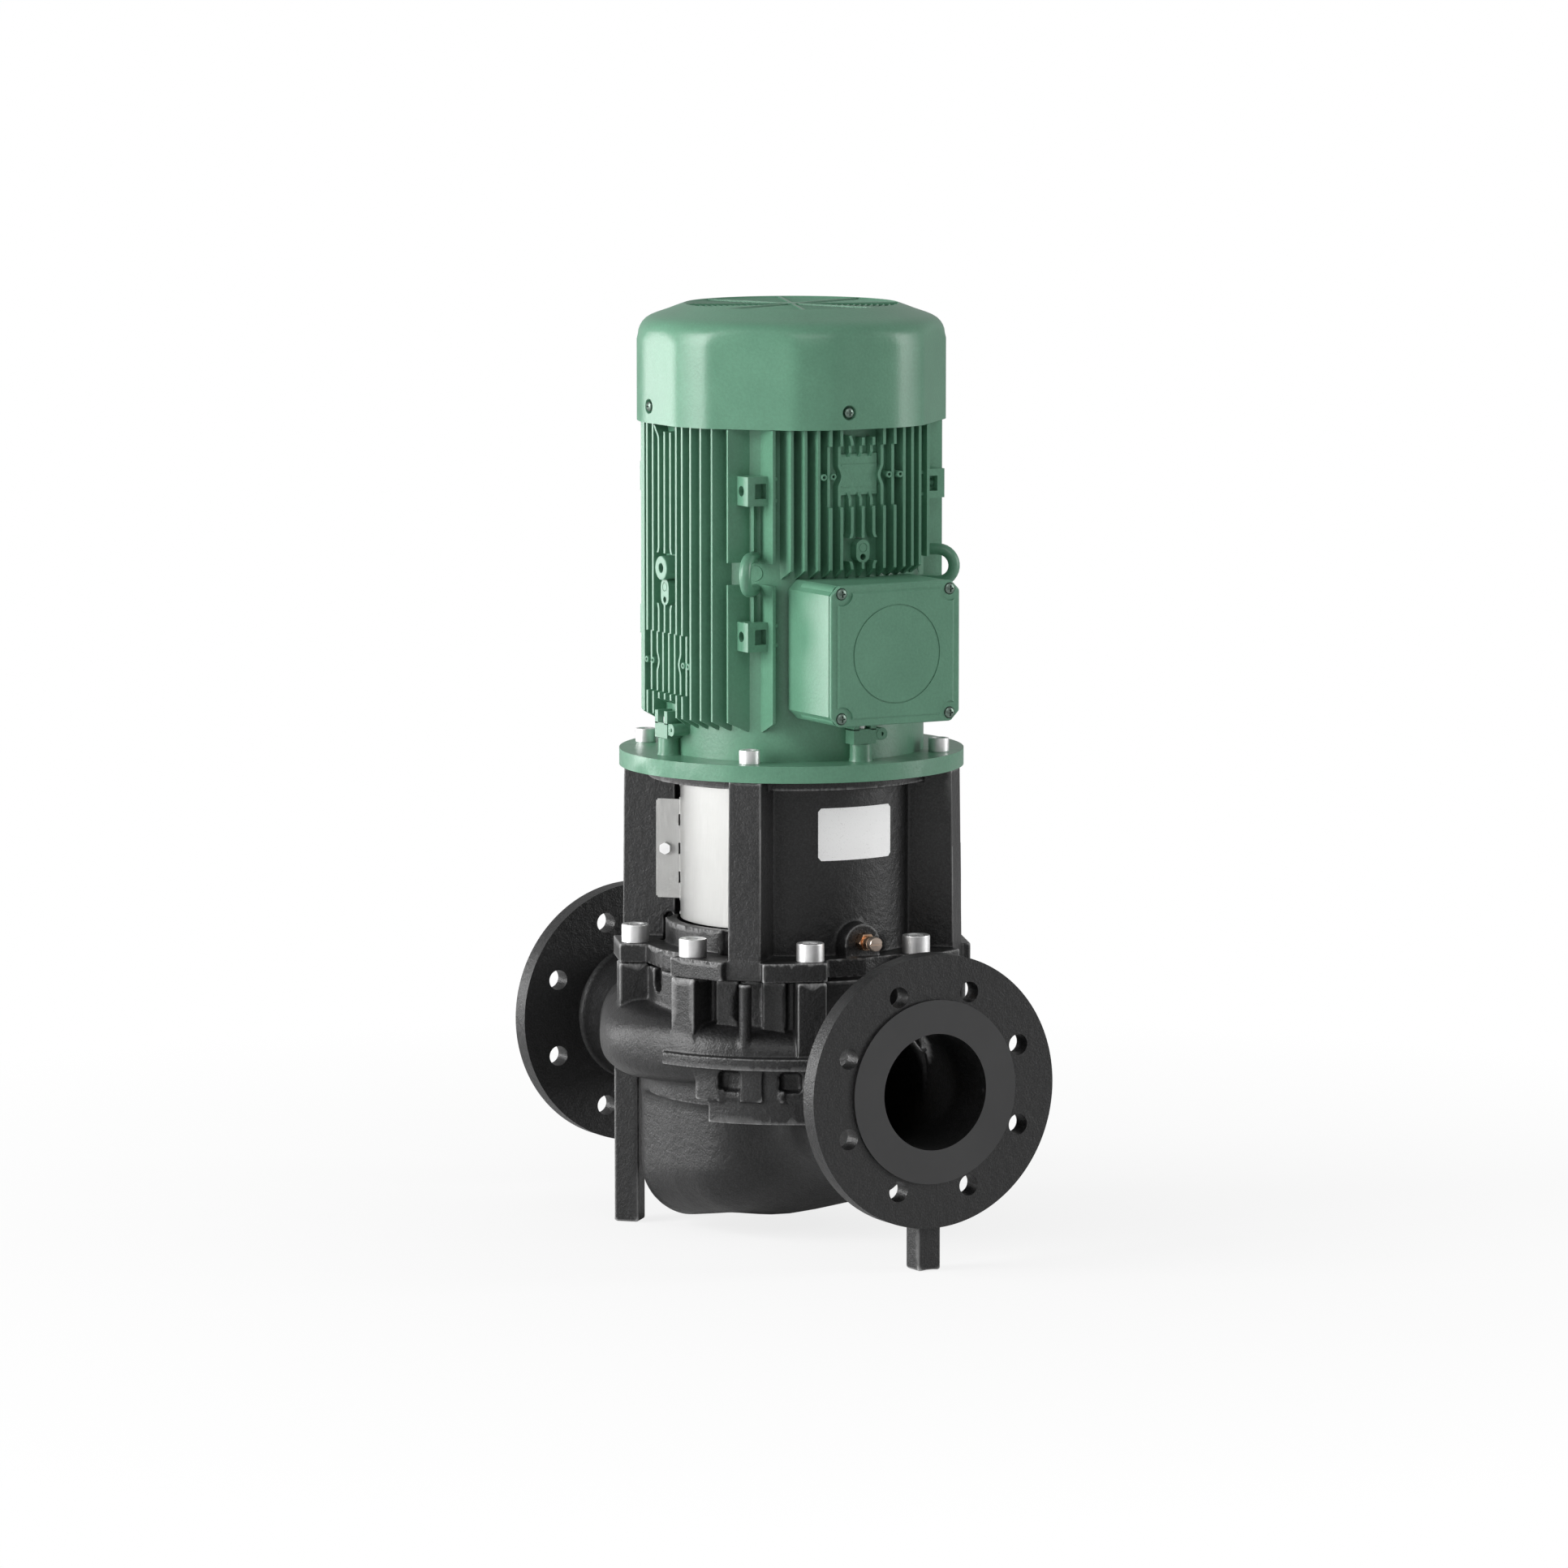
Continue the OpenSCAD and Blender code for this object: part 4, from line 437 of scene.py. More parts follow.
def cast_casing():
    neck_r, boss_r, wall = 58.4, 115, 8.0
    f = Field((-300, -172, -158), (251, 164, 86), 1.5)
    # Suction chamber with its neck, the wall round the impeller, then the volute
    f.add(*chamber(0))
    f.add(*tapered((190, 0, 0), (-22, 0, -90), neck_r, 45), k=34)
    f.add(*tube_z(127, 0, -30, RIM_Z), k=10)
    f.add(*sector_z(149, 90, -40, -16, 0, 58), k=9)
    tube, lo, hi = volute(0)

    def kept(X, Y, Z):
        """Volute's tube, held back in front so that the ledge stands clear of it."""
        turn = np.degrees(np.arctan2(Y, X))
        reach = 156.8 + 14 * np.clip((-72 - turn) / 30, 0, 1) ** 1.5 * (turn > -179) + 20 * (turn > 0)
        a, b, soft = tube(X, Y, Z), np.sqrt(X ** 2 + Y ** 2) - reach, 9
        h = np.maximum(soft - np.abs(a - b), 0) / soft
        return np.maximum(a, b) + h * h * soft / 4
    f.add(kept, lo, hi, k=6)
    # Volute's outlet, the pipe necks and the backs of the flanges
    bend, end = (-165, -46, 9), (-232, 0, 0)
    f.add(*tapered((-96, -90, 17), bend, 38, 46), k=14)
    f.add(*tapered(bend, end, 46, 58), k=14)
    f.add(*tapered((-120, 20, 12), (-225, 0, 0), 40, 57), k=14)
    f.add(*rod_x(neck_r, 184, 246), k=16)
    f.add(*rod_x(59, -296, -222), k=6)
    f.add(*rod_x(boss_r, 231.5, 246), k=9)
    f.add(*rod_x(boss_r, -296, -281.5), k=9)
    # Upper wall with its flats behind the recesses
    for leg in LEGS:
        for t in (-31, 10.8):
            f.add(*box_at(leg, 100, 130, t, t + 20.2, 6, RIM_Z, 1.0), k=2)
    # Ledge, its band and ribs
    f.add(*sector_z(159, 110, 8, 18.5, 5, 79), k=1.5)
    f.add(*sector_z(150, 110, -18, 9, 0, 62), k=2.5)
    for mid, half in ((-58, 4.2), (-42.5, 3.6), (42.5, 3.6), (58, 4.2)):
        f.add(*sector_z(152, 110, -20, 9, mid, half), k=3.5)
    for a in (-50, -29.5, 29.5, 50):
        f.cut(*box_at(a, 142, 170, -9.6, 9.6, -12, 5.5, 4.5), k=2)
        f.add(*box_at(a, 130, 151, -9.5, -5.5, -21, -11, 1.0), k=3)
    # Columns under the adapter's lugs
    for leg in LEGS:
        for side in (-1, 1):
            f.add(*box_at(leg + side * LUG_TURN, 100, 152, -12.6, 12.6, 10, RIM_Z, 1.0), k=2.5)
        if leg in (45, 315):
            f.add(*tube_z(5.5, 0, 20, 83.7, at_angle(leg, 146)), k=3)
    # Feet
    for a in (135, 225):
        f.add(*box_at(a, 137, 159, -11, 11, FOOT_Z, 20, 1.0), k=3)
    f.add(*box_at(0, 219, 241, -11, 11, FOOT_Z, -50, 1.0), k=3)
    # Notches in the top edge over the windows
    half, arch_z, inner, outer = 8.5, 69.5, 119, 160
    for a in (-96, 84):
        f.cut(*box_at(a, inner, outer, -half, half, arch_z, 90), k=1)
        c, s = cosd(a), sind(a)

        def arch(X, Y, Z, c=c, s=s):
            u, t = X * c + Y * s, -X * s + Y * c
            return np.maximum(np.sqrt(t ** 2 + (Z - arch_z) ** 2) - half, inner - u)
        xs, ys = sorted((inner * c, outer * c)), sorted((inner * s, outer * s))
        f.cut(arch, (xs[0] - 12, ys[0] - 12, 59), (xs[1] + 12, ys[1] + 12, 80), k=1)
    # Bolt holes, the two ports, then the spaces and bores inside
    for i in range(8):
        y, z = at_angle(22.5 + 45 * i, BOLT_RING)
        f.cut(*rod_x(9.6, 225, SUCTION_X, y, z))
        f.cut(*rod_x(9.6, DISCHARGE_X, -275, y, z))
    f.cut(*rod_x(PORT_R, 150, 260), k=1)
    f.cut(*rod_x(PORT_R, -310, -200), k=1)
    f.cut(*tapered((178, 0, 0), (-20, 0, -90), 50, 36), k=6)
    f.cut(*tube_z(100, 0, -6, 60))
    f.cut(*tube_z(112, 0, 54, 90))
    f.cut(*tube_z(52.2, 0, -60, 4))
    f.cut(*tapered((-96, -86, 17), (-165, -44, 9), 28, 38), k=4)
    f.cut(*tapered((-165, -44, 9), (-232, 0, 0), 38, 50), k=4)
    low_half, lo, hi = chamber(wall)
    f.cut(lambda X, Y, Z: np.maximum(low_half(X, Y, Z), Z + 28), lo, hi, k=4)
    f.cut(*volute(wall), k=3)
    f.cut(*tube_z(400, 0, RIM_Z, 95))
    for leg in LEGS:
        for side in (-1, 1):
            f.add(*box_at(leg + side * LUG_TURN, 127, 152, -12.6, 12.6, 60, COLUMN_TOP, 0.8))
    f.cut(*tube_z(400, 0, -170, FOOT_Z))
    return f

def cast_adapter():
    f = Field((-156, -156, 50), (156, 156, 259), 1.25)
    f.add(*tube_z(110, 100, 86, 250))
    for mid in (90, 270):
        f.cut(*sector_z(130, 80, WINDOW_LOW, WINDOW_TOP, mid, 40), k=0.5)
    f.add(*tube_z(125, 100, 246, ADAPTER_TOP), k=1.5)
    outline = []
    for leg in LEGS:
        for turn, u, t in ((-1, 130, -16), (-1, 152, -13), (-1, 152, 42.7), (0, 150, -15.2),
                           (0, 150, 15.2), (1, 152, -42.7), (1, 152, 13), (1, 130, 16)):
            outline.append(at_angle(leg + turn * LUG_TURN, u, t))
        outline += [at_angle(leg + a, 130) for a in (30, 45, 60)]
    f.add(*outline_z(outline, 84, 100.5), k=1.0)
    for leg in LEGS:
        c, s = cosd(leg), sind(leg)
        block, lo, hi = box_at(leg, 102, 151, -14.5, 14.5, 88, ADAPTER_TOP, 0.8)

        def taper(X, Y, Z, c=c, s=s, block=block):
            return np.maximum(block(X, Y, Z), X * c + Y * s - 150 + (Z - 100) * 0.013)
        f.add(taper, lo, hi, k=2.0)
    # Arched notches at the feet of the legs
    for leg, side in ((45, 1), (225, 1), (135, -1), (315, -1)):
        c, s = cosd(leg), sind(leg)

        def arch(X, Y, Z, c=c, s=s, side=side):
            u, t = X * c + Y * s - 106.7, (-X * s + Y * c) * side
            high = np.maximum(np.abs(u) - 5.2, Z - 116.8)
            return np.maximum(np.minimum(high, np.sqrt(u ** 2 + (Z - 116.8) ** 2) - 5.2), 6.5 - t)
        x, y = at_angle(leg, 106.7, side * 11)
        f.cut(arch, (x - 12, y - 12, 99), (x + 12, y + 12, 124), k=0.5)
    # Vent boss
    f.add(*rod_x(17, 100, 126, 0, 112), k=3)
    f.add(*box_at(0, 100, 126, -17, 17, 90, 112, 0.6), k=2)
    # Cover over the impeller with the seal's hub
    f.add(*tube_z(111.7, 0, 54, 88))
    for r1, r0, z0, z1 in ((100, 45, 66, 90), (100, 0, 100, 260), (30, 0, 50, 72), (24, 0, 60, 82),
                           (18, 0, 60, 120), (400, 111.7, 40, 84)):
        f.cut(*tube_z(r1, r0, z0, z1))
    f.cut(*tube_z(400, 0, ADAPTER_TOP, 262))
    f.cut(*tube_z(115.1, 0, 251.5, 262))
    for leg in LEGS:
        for side in (-1, 1):
            f.cut(*tube_z(8.75, 0, 80, 104, at_angle(leg + side * LUG_TURN, CASING_RING)))
    f.cut(*rod_x(6.1, 112, 130, 0, VENT_Z))
    return f

def cast_piece(name, field, replaced):
    """Piece with a field's surface, its normals and the mask of its sharp edges for a painted highlight."""
    points, faces, normals, edge = field.surface(0.015)
    me = bpy.data.meshes.new(name)
    me.from_pydata(((points - (ARM, 0, 0)) / 1000).tolist(), [], faces)
    me.validate()
    # Mask of the sharp convex edges, which the cast material lightens as a painted highlight.
    edge_highlight = np.clip((edge - 0.30) / 0.35, 0, 1).astype(np.float32)
    me.attributes.new("edge", "FLOAT", "POINT").data.foreach_set("value", edge_highlight)
    me.materials.append(CAST)
    me.shade_smooth()
    me.normals_split_custom_set_from_vertices(normals.tolist())
    o = link(name, me)
    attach(o, "pump")
    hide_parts(replaced)


cast_piece("casting_of_pump", cast_casing(), "pump_casing")
cast_piece("casting_of_adapter", cast_adapter(), "lantern")


# Crisp pieces: lathed, extruded and bevelled

class Shape:
    """Builder of plain bodies in millimetres; object() orients the faces."""

    def __init__(self):
        self.bm = bmesh.new()

    def loft(self, rows, matrix=Matrix(), closed=False):
        """Skin over rows of points, with end faces unless the rows close on themselves."""
        rows = [[self.bm.verts.new(matrix @ Vector(p)) for p in row] for row in rows]
        for a, b in zip(rows, rows[1:] + rows[:1] if closed else rows[1:]):
            for i in range(len(a)):
                j = (i + 1) % len(a)
                quad = (a[i], b[i], b[j], a[j]) if closed else (a[i], a[j], b[j], b[i])
                self.bm.faces.new(quad)
        if not closed:
            self.bm.faces.new(rows[0])
            self.bm.faces.new(rows[-1])

    def lathe(self, profile, matrix=Matrix(), segs=96):
        """Closed ring section (radius, height) turned about Z."""
        turns = [360 * i / segs for i in range(segs)]
        self.loft([[(r * cosd(a), r * sind(a), z) for r, z in profile] for a in turns], matrix, True)

    def block(self, low, high, matrix=Matrix()):
        x, y = (low[0], high[0]), (low[1], high[1])
        self.prism([(x[0], y[0]), (x[1], y[0]), (x[1], y[1]), (x[0], y[1])], low[2], high[2], matrix)

    def prism(self, outline, z0, z1, matrix=Matrix()):
        """Outline drawn out along Z."""
        lo, hi = ([self.bm.verts.new(matrix @ Vector((x, y, z))) for x, y in outline] for z in (z0, z1))
        self.bm.faces.new(lo[::-1])
        self.bm.faces.new(hi)
        for i in range(len(lo)):
            j = (i + 1) % len(lo)
            self.bm.faces.new((lo[i], lo[j], hi[j], hi[i]))

    def rod(self, r, z0, z1, matrix=Matrix(), segs=32, edge=0.4):
        """Round bar with small chamfers."""
        self.lathe([(0.01, z0), (r - edge, z0), (r, z0 + edge), (r, z1 - edge), (r - edge, z1),
                    (0.01, z1)], matrix, segs)

    def object(self, name):
        bmesh.ops.recalc_face_normals(self.bm, faces=self.bm.faces)
        me = bpy.data.meshes.new(name)
        self.bm.to_mesh(me)
        self.bm.free()
        return link(name, me)


def subtract(obj, shape):
    cutter = shape.object("cutter")
    m = obj.modifiers.new("cut", "BOOLEAN")
    m.operation = "DIFFERENCE"
    m.object = cutter
    m.solver = "EXACT"
    apply(obj)
    bpy.data.objects.remove(cutter)


def apply(obj):
    dg = bpy.context.evaluated_depsgraph_get()
    me = bpy.data.meshes.new_from_object(obj.evaluated_get(dg))
    obj.modifiers.clear()
    old = obj.data
    obj.data = me
    bpy.data.meshes.remove(old)


def crisp(obj, bevel=0.5, segs=2, angle=32, smooth=40):
    """Small bevels and clean shading; sizes are still in millimetres here."""
    if bevel:
        m = obj.modifiers.new("bevel", "BEVEL")
        m.width = bevel
        m.segments = segs
        m.limit_method = "ANGLE"
        m.angle_limit = math.radians(angle)
        apply(obj)
    me = obj.data
    me.shade_smooth()
    bm = bmesh.new()
    bm.from_mesh(me)
    for e in bm.edges:
        if len(e.link_faces) == 2 and e.calc_face_angle(0) > math.radians(smooth):
            e.smooth = False
    bm.to_mesh(me)
    bm.free()
    w = obj.modifiers.new("normals", "WEIGHTED_NORMAL")
    w.keep_sharp = True
    apply(obj)
    return obj


def place(obj, slot, replaced=None, materials=(), body="pump"):
    """Millimetres to metres in the part's frame, then the body, replaced node and slot."""
    obj.data.transform(shift(-ARM / 1000, 0, 0) @ Matrix.Scale(0.001, 4))
    obj.data.materials.clear()
    for m in materials or [MATERIAL_OF[slot]]:
        obj.data.materials.append(m)
    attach(obj, body)
    if replaced:
        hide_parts(replaced)


def turn_z(angle, x=0.0, y=0.0, z=0.0):
    return spin(angle, "Z") @ shift(x, y, z)


def port_flange(name, x, sign):
    """Flange plate with its raised face; sign tells which way it looks."""
    turn = shift(x, 0, 0) @ spin(90 * sign, "Y")
    face_r, face_h, back, neck, neck_end = 79, 2.5, -20, 57, -40
    s = Shape()
    s.lathe([(PORT_R, neck_end), (PORT_R, 0), (face_r, 0), (face_r, -face_h), (PLATE_R, -face_h),
             (PLATE_R, back), (neck, back), (neck, neck_end)], turn, 160)
    o = s.object(name)
    c = Shape()
    for i in range(8):
        c.lathe([(0.01, -30), (9, -30), (9, 10), (0.01, 10)],
                turn @ shift(*at_angle(22.5 + 45 * i, BOLT_RING), 0), 40)
    subtract(o, c)
    crisp(o, 1.0, 3)
    place(o, "casing_paint", None, (CAST_PLAIN, FACE))
    for f in o.data.polygons:
        on_face = abs(f.center[0] * 1000 - (x - ARM)) < 0.6
        if on_face and math.hypot(f.center[1], f.center[2]) * 1000 < face_r - 0.2:
            f.material_index = 1


port_flange("suction_flange", SUCTION_X, 1)
port_flange("discharge_flange", DISCHARGE_X, -1)


# Motor sizes shared by the pieces below
FRAME_R, FRAME_LOW, FRAME_TOP = 115.0, 270.0, 560.0
FIN_R, FIN_FLAT, FIN_PITCH, FIN_LOW, FIN_TOP = 130.0, 125.5, 10.5, 304.0, 555.6
ZONE_DROP = 4.2
EYE_Z = 432.0
BOX_Z, BOX_W, BOX_H, CORNER = 368.0, 125.0, 119.5, 8.0
ENTRY_X, ENTRY_Z = 149.5, 27.9
COVER_LOW, COVER_TOP = 556.0, 656.7
COVER_SCREW_Y, COVER_SCREW_Z = -17, 570.4


def disc_at(x, y=0.0, z=0.0, angle=0.0):
    """Matrix that sets a lathed shape's axis along the direction angle, starting at x."""
    return turn_z(angle, x, y, z) @ spin(90, "Y")


def stadium(w, h, segs=14):
    """Upright outline with round ends, w wide and h high."""
    pts = []
    for i in range(segs + 1):
        a = math.pi * i / segs
        pts.append((w / 2 * math.cos(a), h / 2 - w / 2 + w / 2 * math.sin(a)))
    return pts + [(-x, -y) for x, y in pts]


def merge(name, objs):
    bm = bmesh.new()
    for o in objs:
        bm.from_mesh(o.data)
        bpy.data.objects.remove(o)
    me = bpy.data.meshes.new(name)
    bm.to_mesh(me)
    bm.free()
    return link(name, me)


def fin(s, side, t, stations):
    """Cooling fin at offset t of a side; stations are (height, reach, sideways shift)."""
    inner = math.sqrt(109.0 ** 2 - t * t)
    root, tip = 1.9, 1.35
    rows = []
    for z, reach, bow in stations:
        y = t + bow
        rows.append([(inner, y - root, z), (inner, y + root, z), (reach, y + tip, z), (reach, y - tip, z)])
    s.loft(rows, turn_z(side))


def fin_tip(t):
    return min(FIN_FLAT, math.sqrt(FIN_R ** 2 - t * t))


def fin_low_end(t, z):
    return [(z - 8.5, math.sqrt(FRAME_R ** 2 - t * t) + 0.2, 0), (z, fin_tip(t), 0)]


def bulge(middle, reach, amount):
    """Smooth sideways bow of a fin round a screw boss."""
    return [(middle + dz, reach, amount * part) for dz, part in
            ((-9, 0), (-6.5, 0.25), (-3.5, 0.75), (0, 1), (3.5, 0.75), (6.5, 0.25), (9, 0))]


def side_fins(s, side, low, zone=None, gaps=(), middle=True):
    """Fins of one side from height low; zone is the middle height of a lowered zone."""
    for i in range(-6, 7):
        t = i * FIN_PITCH
        if abs(i) < 2 and not middle:
            continue
        tip = fin_tip(t)
        rows = fin_low_end(t, low)
        if zone and abs(i) <= 3:
            rows += [(zone - 26.2, tip, 0), (zone - 25.8, tip - ZONE_DROP, 0)]
            if abs(i) == 2:
                rows += bulge(zone, tip - ZONE_DROP, -3.1 if i > 0 else 3.1)
            rows += [(zone + 25.8, tip - ZONE_DROP, 0), (zone + 26.2, tip, 0)]
        rows.append((FIN_TOP, tip, 0))
        fin(s, side, t, rows)
    for hand in (-1, 1):
        t = hand * 76
        tip = fin_tip(t)
        if hand in gaps:
            fin(s, side, t, fin_low_end(t, FIN_LOW) + [(EYE_Z - 9.5, tip, 0)])
            fin(s, side, t, [(EYE_Z + 9.5, tip, 0), (FIN_TOP, tip, 0)])
        else:
            fin(s, side, t, fin_low_end(t, FIN_LOW) + [(FIN_TOP, tip, 0)])


def flare(t, z, away, reach, size=1.8):
    """Last stations of a fin that bows outwards at its end; away is the way along Z."""
    out = size if t > 0 else -size if t < 0 else 0
    rows = [(z - away * 5, reach, 0), (z - away * 2.5, reach, out * 0.35), (z, reach, out)]
    return rows if away > 0 else rows[::-1]


def ring_boss(side, t, z, r, hole, front):
    s = Shape()
    s.lathe([(hole, FRAME_R - 8), (hole, front - 0.4), (hole + 0.4, front), (r - 0.6, front),
             (r, front - 0.6), (r, FRAME_R - 8)], disc_at(0, t, z, side), 40)
    return s.object("boss")


def oblong_boss(side, z, w, h, hole_z):
    turn = turn_z(side + 90) @ spin(90, "X")
    s = Shape()
    s.prism([(x, y + z) for x, y in stadium(w, h)], FRAME_R - 6, FIN_FLAT - 0.3, turn)
    o = s.object("boss")
    c = Shape()
    c.rod(2.7, FIN_FLAT - 9, FIN_FLAT + 2, disc_at(0, 0, hole_z, side), 24)
    subtract(o, c)
    c = Shape()
    c.lathe([(3.4, FIN_FLAT - 0.8), (3.4, FIN_FLAT + 1), (4.0, FIN_FLAT + 1), (4.0, FIN_FLAT - 0.8)],
            disc_at(0, 0, hole_z + h - 12, side), 32)
    subtract(o, c)
    return o


def clamp_block(mx, my, z):
    """Square lug on a diagonal, with a hole in one face and a pocket in the other."""
    flip = Matrix.Diagonal((mx, my, 1, 1))
    c, h = 97.0, 25
    s = Shape()
    s.block((c - 22, c - 22, z), (c, c, z + h), flip)
    o = s.object("block")
    k = Shape()
    k.rod(4.5, -2, 12, flip @ shift(c - 11.5, c - 9, z + h / 2) @ spin(-90, "X"), 28)
    k.block((c - 9, c - 18, z + h / 2 - 6.5), (c + 2, c - 7, z + h / 2 + 6.5), flip)
    subtract(o, k)
    return o


def motor_frame():
    s = Shape()
    s.lathe([(101, FRAME_LOW), (FRAME_R, FRAME_LOW), (FRAME_R, FRAME_TOP), (101, FRAME_TOP)], segs=144)
    front, left, front_low, pad = 515.5, 349.5, 435.75, 117
    side_fins(s, 0, front_low, front, (-1, 1), middle=False)
    side_fins(s, 90, FIN_LOW, None, (-1,))
    side_fins(s, 180, FIN_LOW)
    side_fins(s, 270, FIN_LOW, left, (1,), middle=False)
    out, low = FIN_FLAT, FIN_FLAT - ZONE_DROP
    for t in (-FIN_PITCH, 0, FIN_PITCH):
        bent = t < 0
        # Front: short fins under the boss, over it, and over and under the pad
        fin(s, 0, t, fin_low_end(t, front_low) + flare(t, 442.5, 1, out)[1:])
        fin(s, 0, t, flare(t, 462.5, -1, out)
            + [(489.3, out, 0), (489.7, low, 0), (496, low, 0), (502, pad, 0)])
        fin(s, 0, t, [(531, pad, 0), (535.5, low, 0), (541.3, low, 0), (541.7, out, 0),
                      (545, out, -0.3 * bent), (550.5 if bent else 548.5, out, -2.2 * bent)])
        # Left: from the cover down to the round boss, then on to the foot's lug
        bow = -7.5 if bent else 0
        fin(s, 270, t, flare(t, 444.5, -1, out)
            + [(543, out, 0), (546.5, out, bow * 0.2), (549.5, out, bow * 0.6)] + [(554, out, bow)] * bent)
        fin(s, 270, t, [(314, pad, 0), (318, out, 0), (323.2, out, 0), (323.6, low, 0),
                        (375.4, low, 0), (375.8, out, 0)] + flare(t, 400.5, 1, out))
    # Pad for a plate on the front, with a slightly raised middle
    s.block((112, -17.8, 499), (117.4, 17.8, 534))
    s.block((112, -17.5, 506), (118, 17.5, 525.2))
    # Short bridges between the two outer fins, beside the clamp blocks
    for y in (-1, 1):
        for z in (371, 388, 495, 513.5):
            s.block((84, min(y * 77, y * 69), z - 1.4), (99, max(y * 77, y * 69), z + 1.4))
    # Thin ribs on the diagonals between the clamp blocks, clear of the eyes
    for a in (45, 315):
        for z0, z1 in ((390, EYE_Z - 19.6), (EYE_Z + 19.6, 492)):
            s.block((FRAME_R - 3, -1.3, z0), (FRAME_R + 8.5, 1.3, z1), turn_z(a))
    parts = [s.object("fins")]
    for y in (-37.5, -27.4, 27.4, 37.5):
        inner = abs(y) < 30
        parts.append(ring_boss(0, y, front, 2.9, 1.25, low + (1.5 if inner else 3)))
        parts.append(ring_boss(270, y, left, 2.9, 1.25, low + (1.5 if inner else 2)))
    parts += [oblong_boss(0, 451, 13, 20, 446), oblong_boss(270, 411, 14, 23, 404.5),
              ring_boss(270, 0, 432, 10.5, 4, 129)]
    parts += [clamp_block(mx, my, z) for mx in (1, -1) for my in (1, -1) for z in (366, 491)]
    # Lugs over the posts of the shield, forked round their screws, with an earthing boss
    for a in SIDES:
        k = Shape()
        k.block((110, -11, 285), (129, 11, 298), turn_z(a))
        for y in (-11, 5.6):
            k.block((110, y, 297), (129, y + 5.4, 308.5), turn_z(a))
        k.lathe([(1.7, 110), (1.7, 128.5), (5.3, 128.5), (5.3, 110)], disc_at(0, 17.2, 293, a), 36)
        k.block((110, 11, 288), (128.2, 17, 298), turn_z(a))
        parts.append(k.object("lug"))
    o = merge("motor_frame", parts)
    crisp(o, 0.55, 2)
    place(o, "motor_paint", "stator_frame")


def lifting_eye_pair():
    ring, rod_r, middle = 14, 5, 132
    arms = [110 + 4.4 * i for i in range(5)]
    path = [(u, ring, 0) for u in arms]
    path += [(middle + ring * sind(b), ring * cosd(b), b) for b in range(0, 181, 12)]
    path += [(u, -ring, 180) for u in arms[::-1]]
    s = Shape()
    for a in (45, 315):
        rows = []
        for u, v, b in path:
            rows.append([(u + rod_r * cosd(c) * sind(b), 5.2 * sind(c),
                          EYE_Z + v + rod_r * cosd(c) * cosd(b)) for c in range(0, 360, 18)])
        s.loft(rows, turn_z(a))
        s.rod(7, FRAME_R - 8, FRAME_R + 0.4, disc_at(0, 0, EYE_Z, a))
    o = s.object("lifting_eye_pair")
    crisp(o, 0)
    place(o, "motor_paint", "lifting_eyes")


def motor_flange():
    s = Shape()
    bore, low, lip = 20.5, ADAPTER_TOP, ADAPTER_TOP - 3.6
    s.lathe([(bore, low), (100, low), (100, lip), (114.8, lip), (114.8, low), (150, low),
             (150, FRAME_LOW), (100.8, FRAME_LOW), (100.8, 277.5), (92, 277.5), (92, 267), (57, 267),
             (57, 296), (45.1, 296), (45.1, 273), (37, 273), (37, 264), (bore, 264)], segs=160)
    o = s.object("motor_flange")
    c = Shape()
    for a in LEGS:
        c.rod(6.7, 250, 275, turn_z(a, 132.5), 32, 0)
    subtract(o, c)
    s = Shape()
    for a in SIDES:
        s.lathe([(0.01, 266), (11, 266), (10.2, 270.6), (9.5, 272.5), (9.3, 284.9), (0.01, 284.9)],
                turn_z(a, 121.3), 40)
    o = merge("motor_flange", [o, s.object("posts")])
    crisp(o, 0.8, 3)
    place(o, "motor_paint", "drive_end_shield")


def cap_screws(name, places, d, length, replaced):
    """Cylinder head screws with a hexagon socket."""
    r = 0.75 * d
    s = Shape()
    for m in places:
        s.lathe([(0.01, d), (r - 0.07 * d, d), (r - 0.02 * d, d - 0.02 * d), (r, d - 0.07 * d),
                 (r, 0.03 * d), (r - 0.03 * d, 0), (d / 2, 0), (d / 2, -length), (0.01, -length)], m, 48)
    o = s.object(name)
    c = Shape()
    for m in places:
        c.prism(hex_outline(0.45 * d), 0.5 * d, d - 0.02 * d, m)
    subtract(o, c)
    c = Shape()
    for m in places:
        c.lathe([(0.01, d - 0.05 * d), (0.43 * d, d - 0.05 * d), (0.49 * d, d + 0.01 * d),
                 (0.49 * d, d + 1), (0.01, d + 1)], m, 48)
    subtract(o, c)
    crisp(o, 0, smooth=35)
    place(o, "screw_steel", replaced)


def cross_outline(reach, w):
    return [at_angle(a, x, y) for a in SIDES for x, y in ((w, -w), (reach, -w), (reach, w))]


def cross_screws(name, places, head, replaced):
    """Low domed heads with a cross recess, pressed a little into the part."""
    s = Shape()
    for m in places:
        r, h = head / 2, 0.4 * head
        s.lathe([(0.01, h), (0.5 * r, h - 0.08), (0.8 * r, h - 0.5), (0.97 * r, h - 1.3), (r, 0.4),
                 (r - 0.3, 0), (0.01, 0)], m, 36)
    o = s.object(name)
    c = Shape()
    for m in places:
        c.prism(cross_outline(0.3 * head, 0.07 * head), 0.2 * head, head, m)
    subtract(o, c)
    crisp(o, 0, smooth=35)
    place(o, "screw_steel", replaced, [DULL])


def soft_min(a, b, k):
    h = max(k - abs(a - b), 0) / k
    return min(a, b) - h * h * k / 4


def cover_reach(angle, inset):
    """Outline of the fan cover: round, with flats on the diagonals and slight ones on the sides."""
    d = (angle + 45) % 90 - 45
    side = (131.2 - inset) / max(cosd(d), 0.1)
    e = angle % 90 - 45
    flat = (128.4 - inset) / max(cosd(e), 0.1)
    return soft_min(soft_min(134.5 - inset, flat, 1.6), side, 1.6)


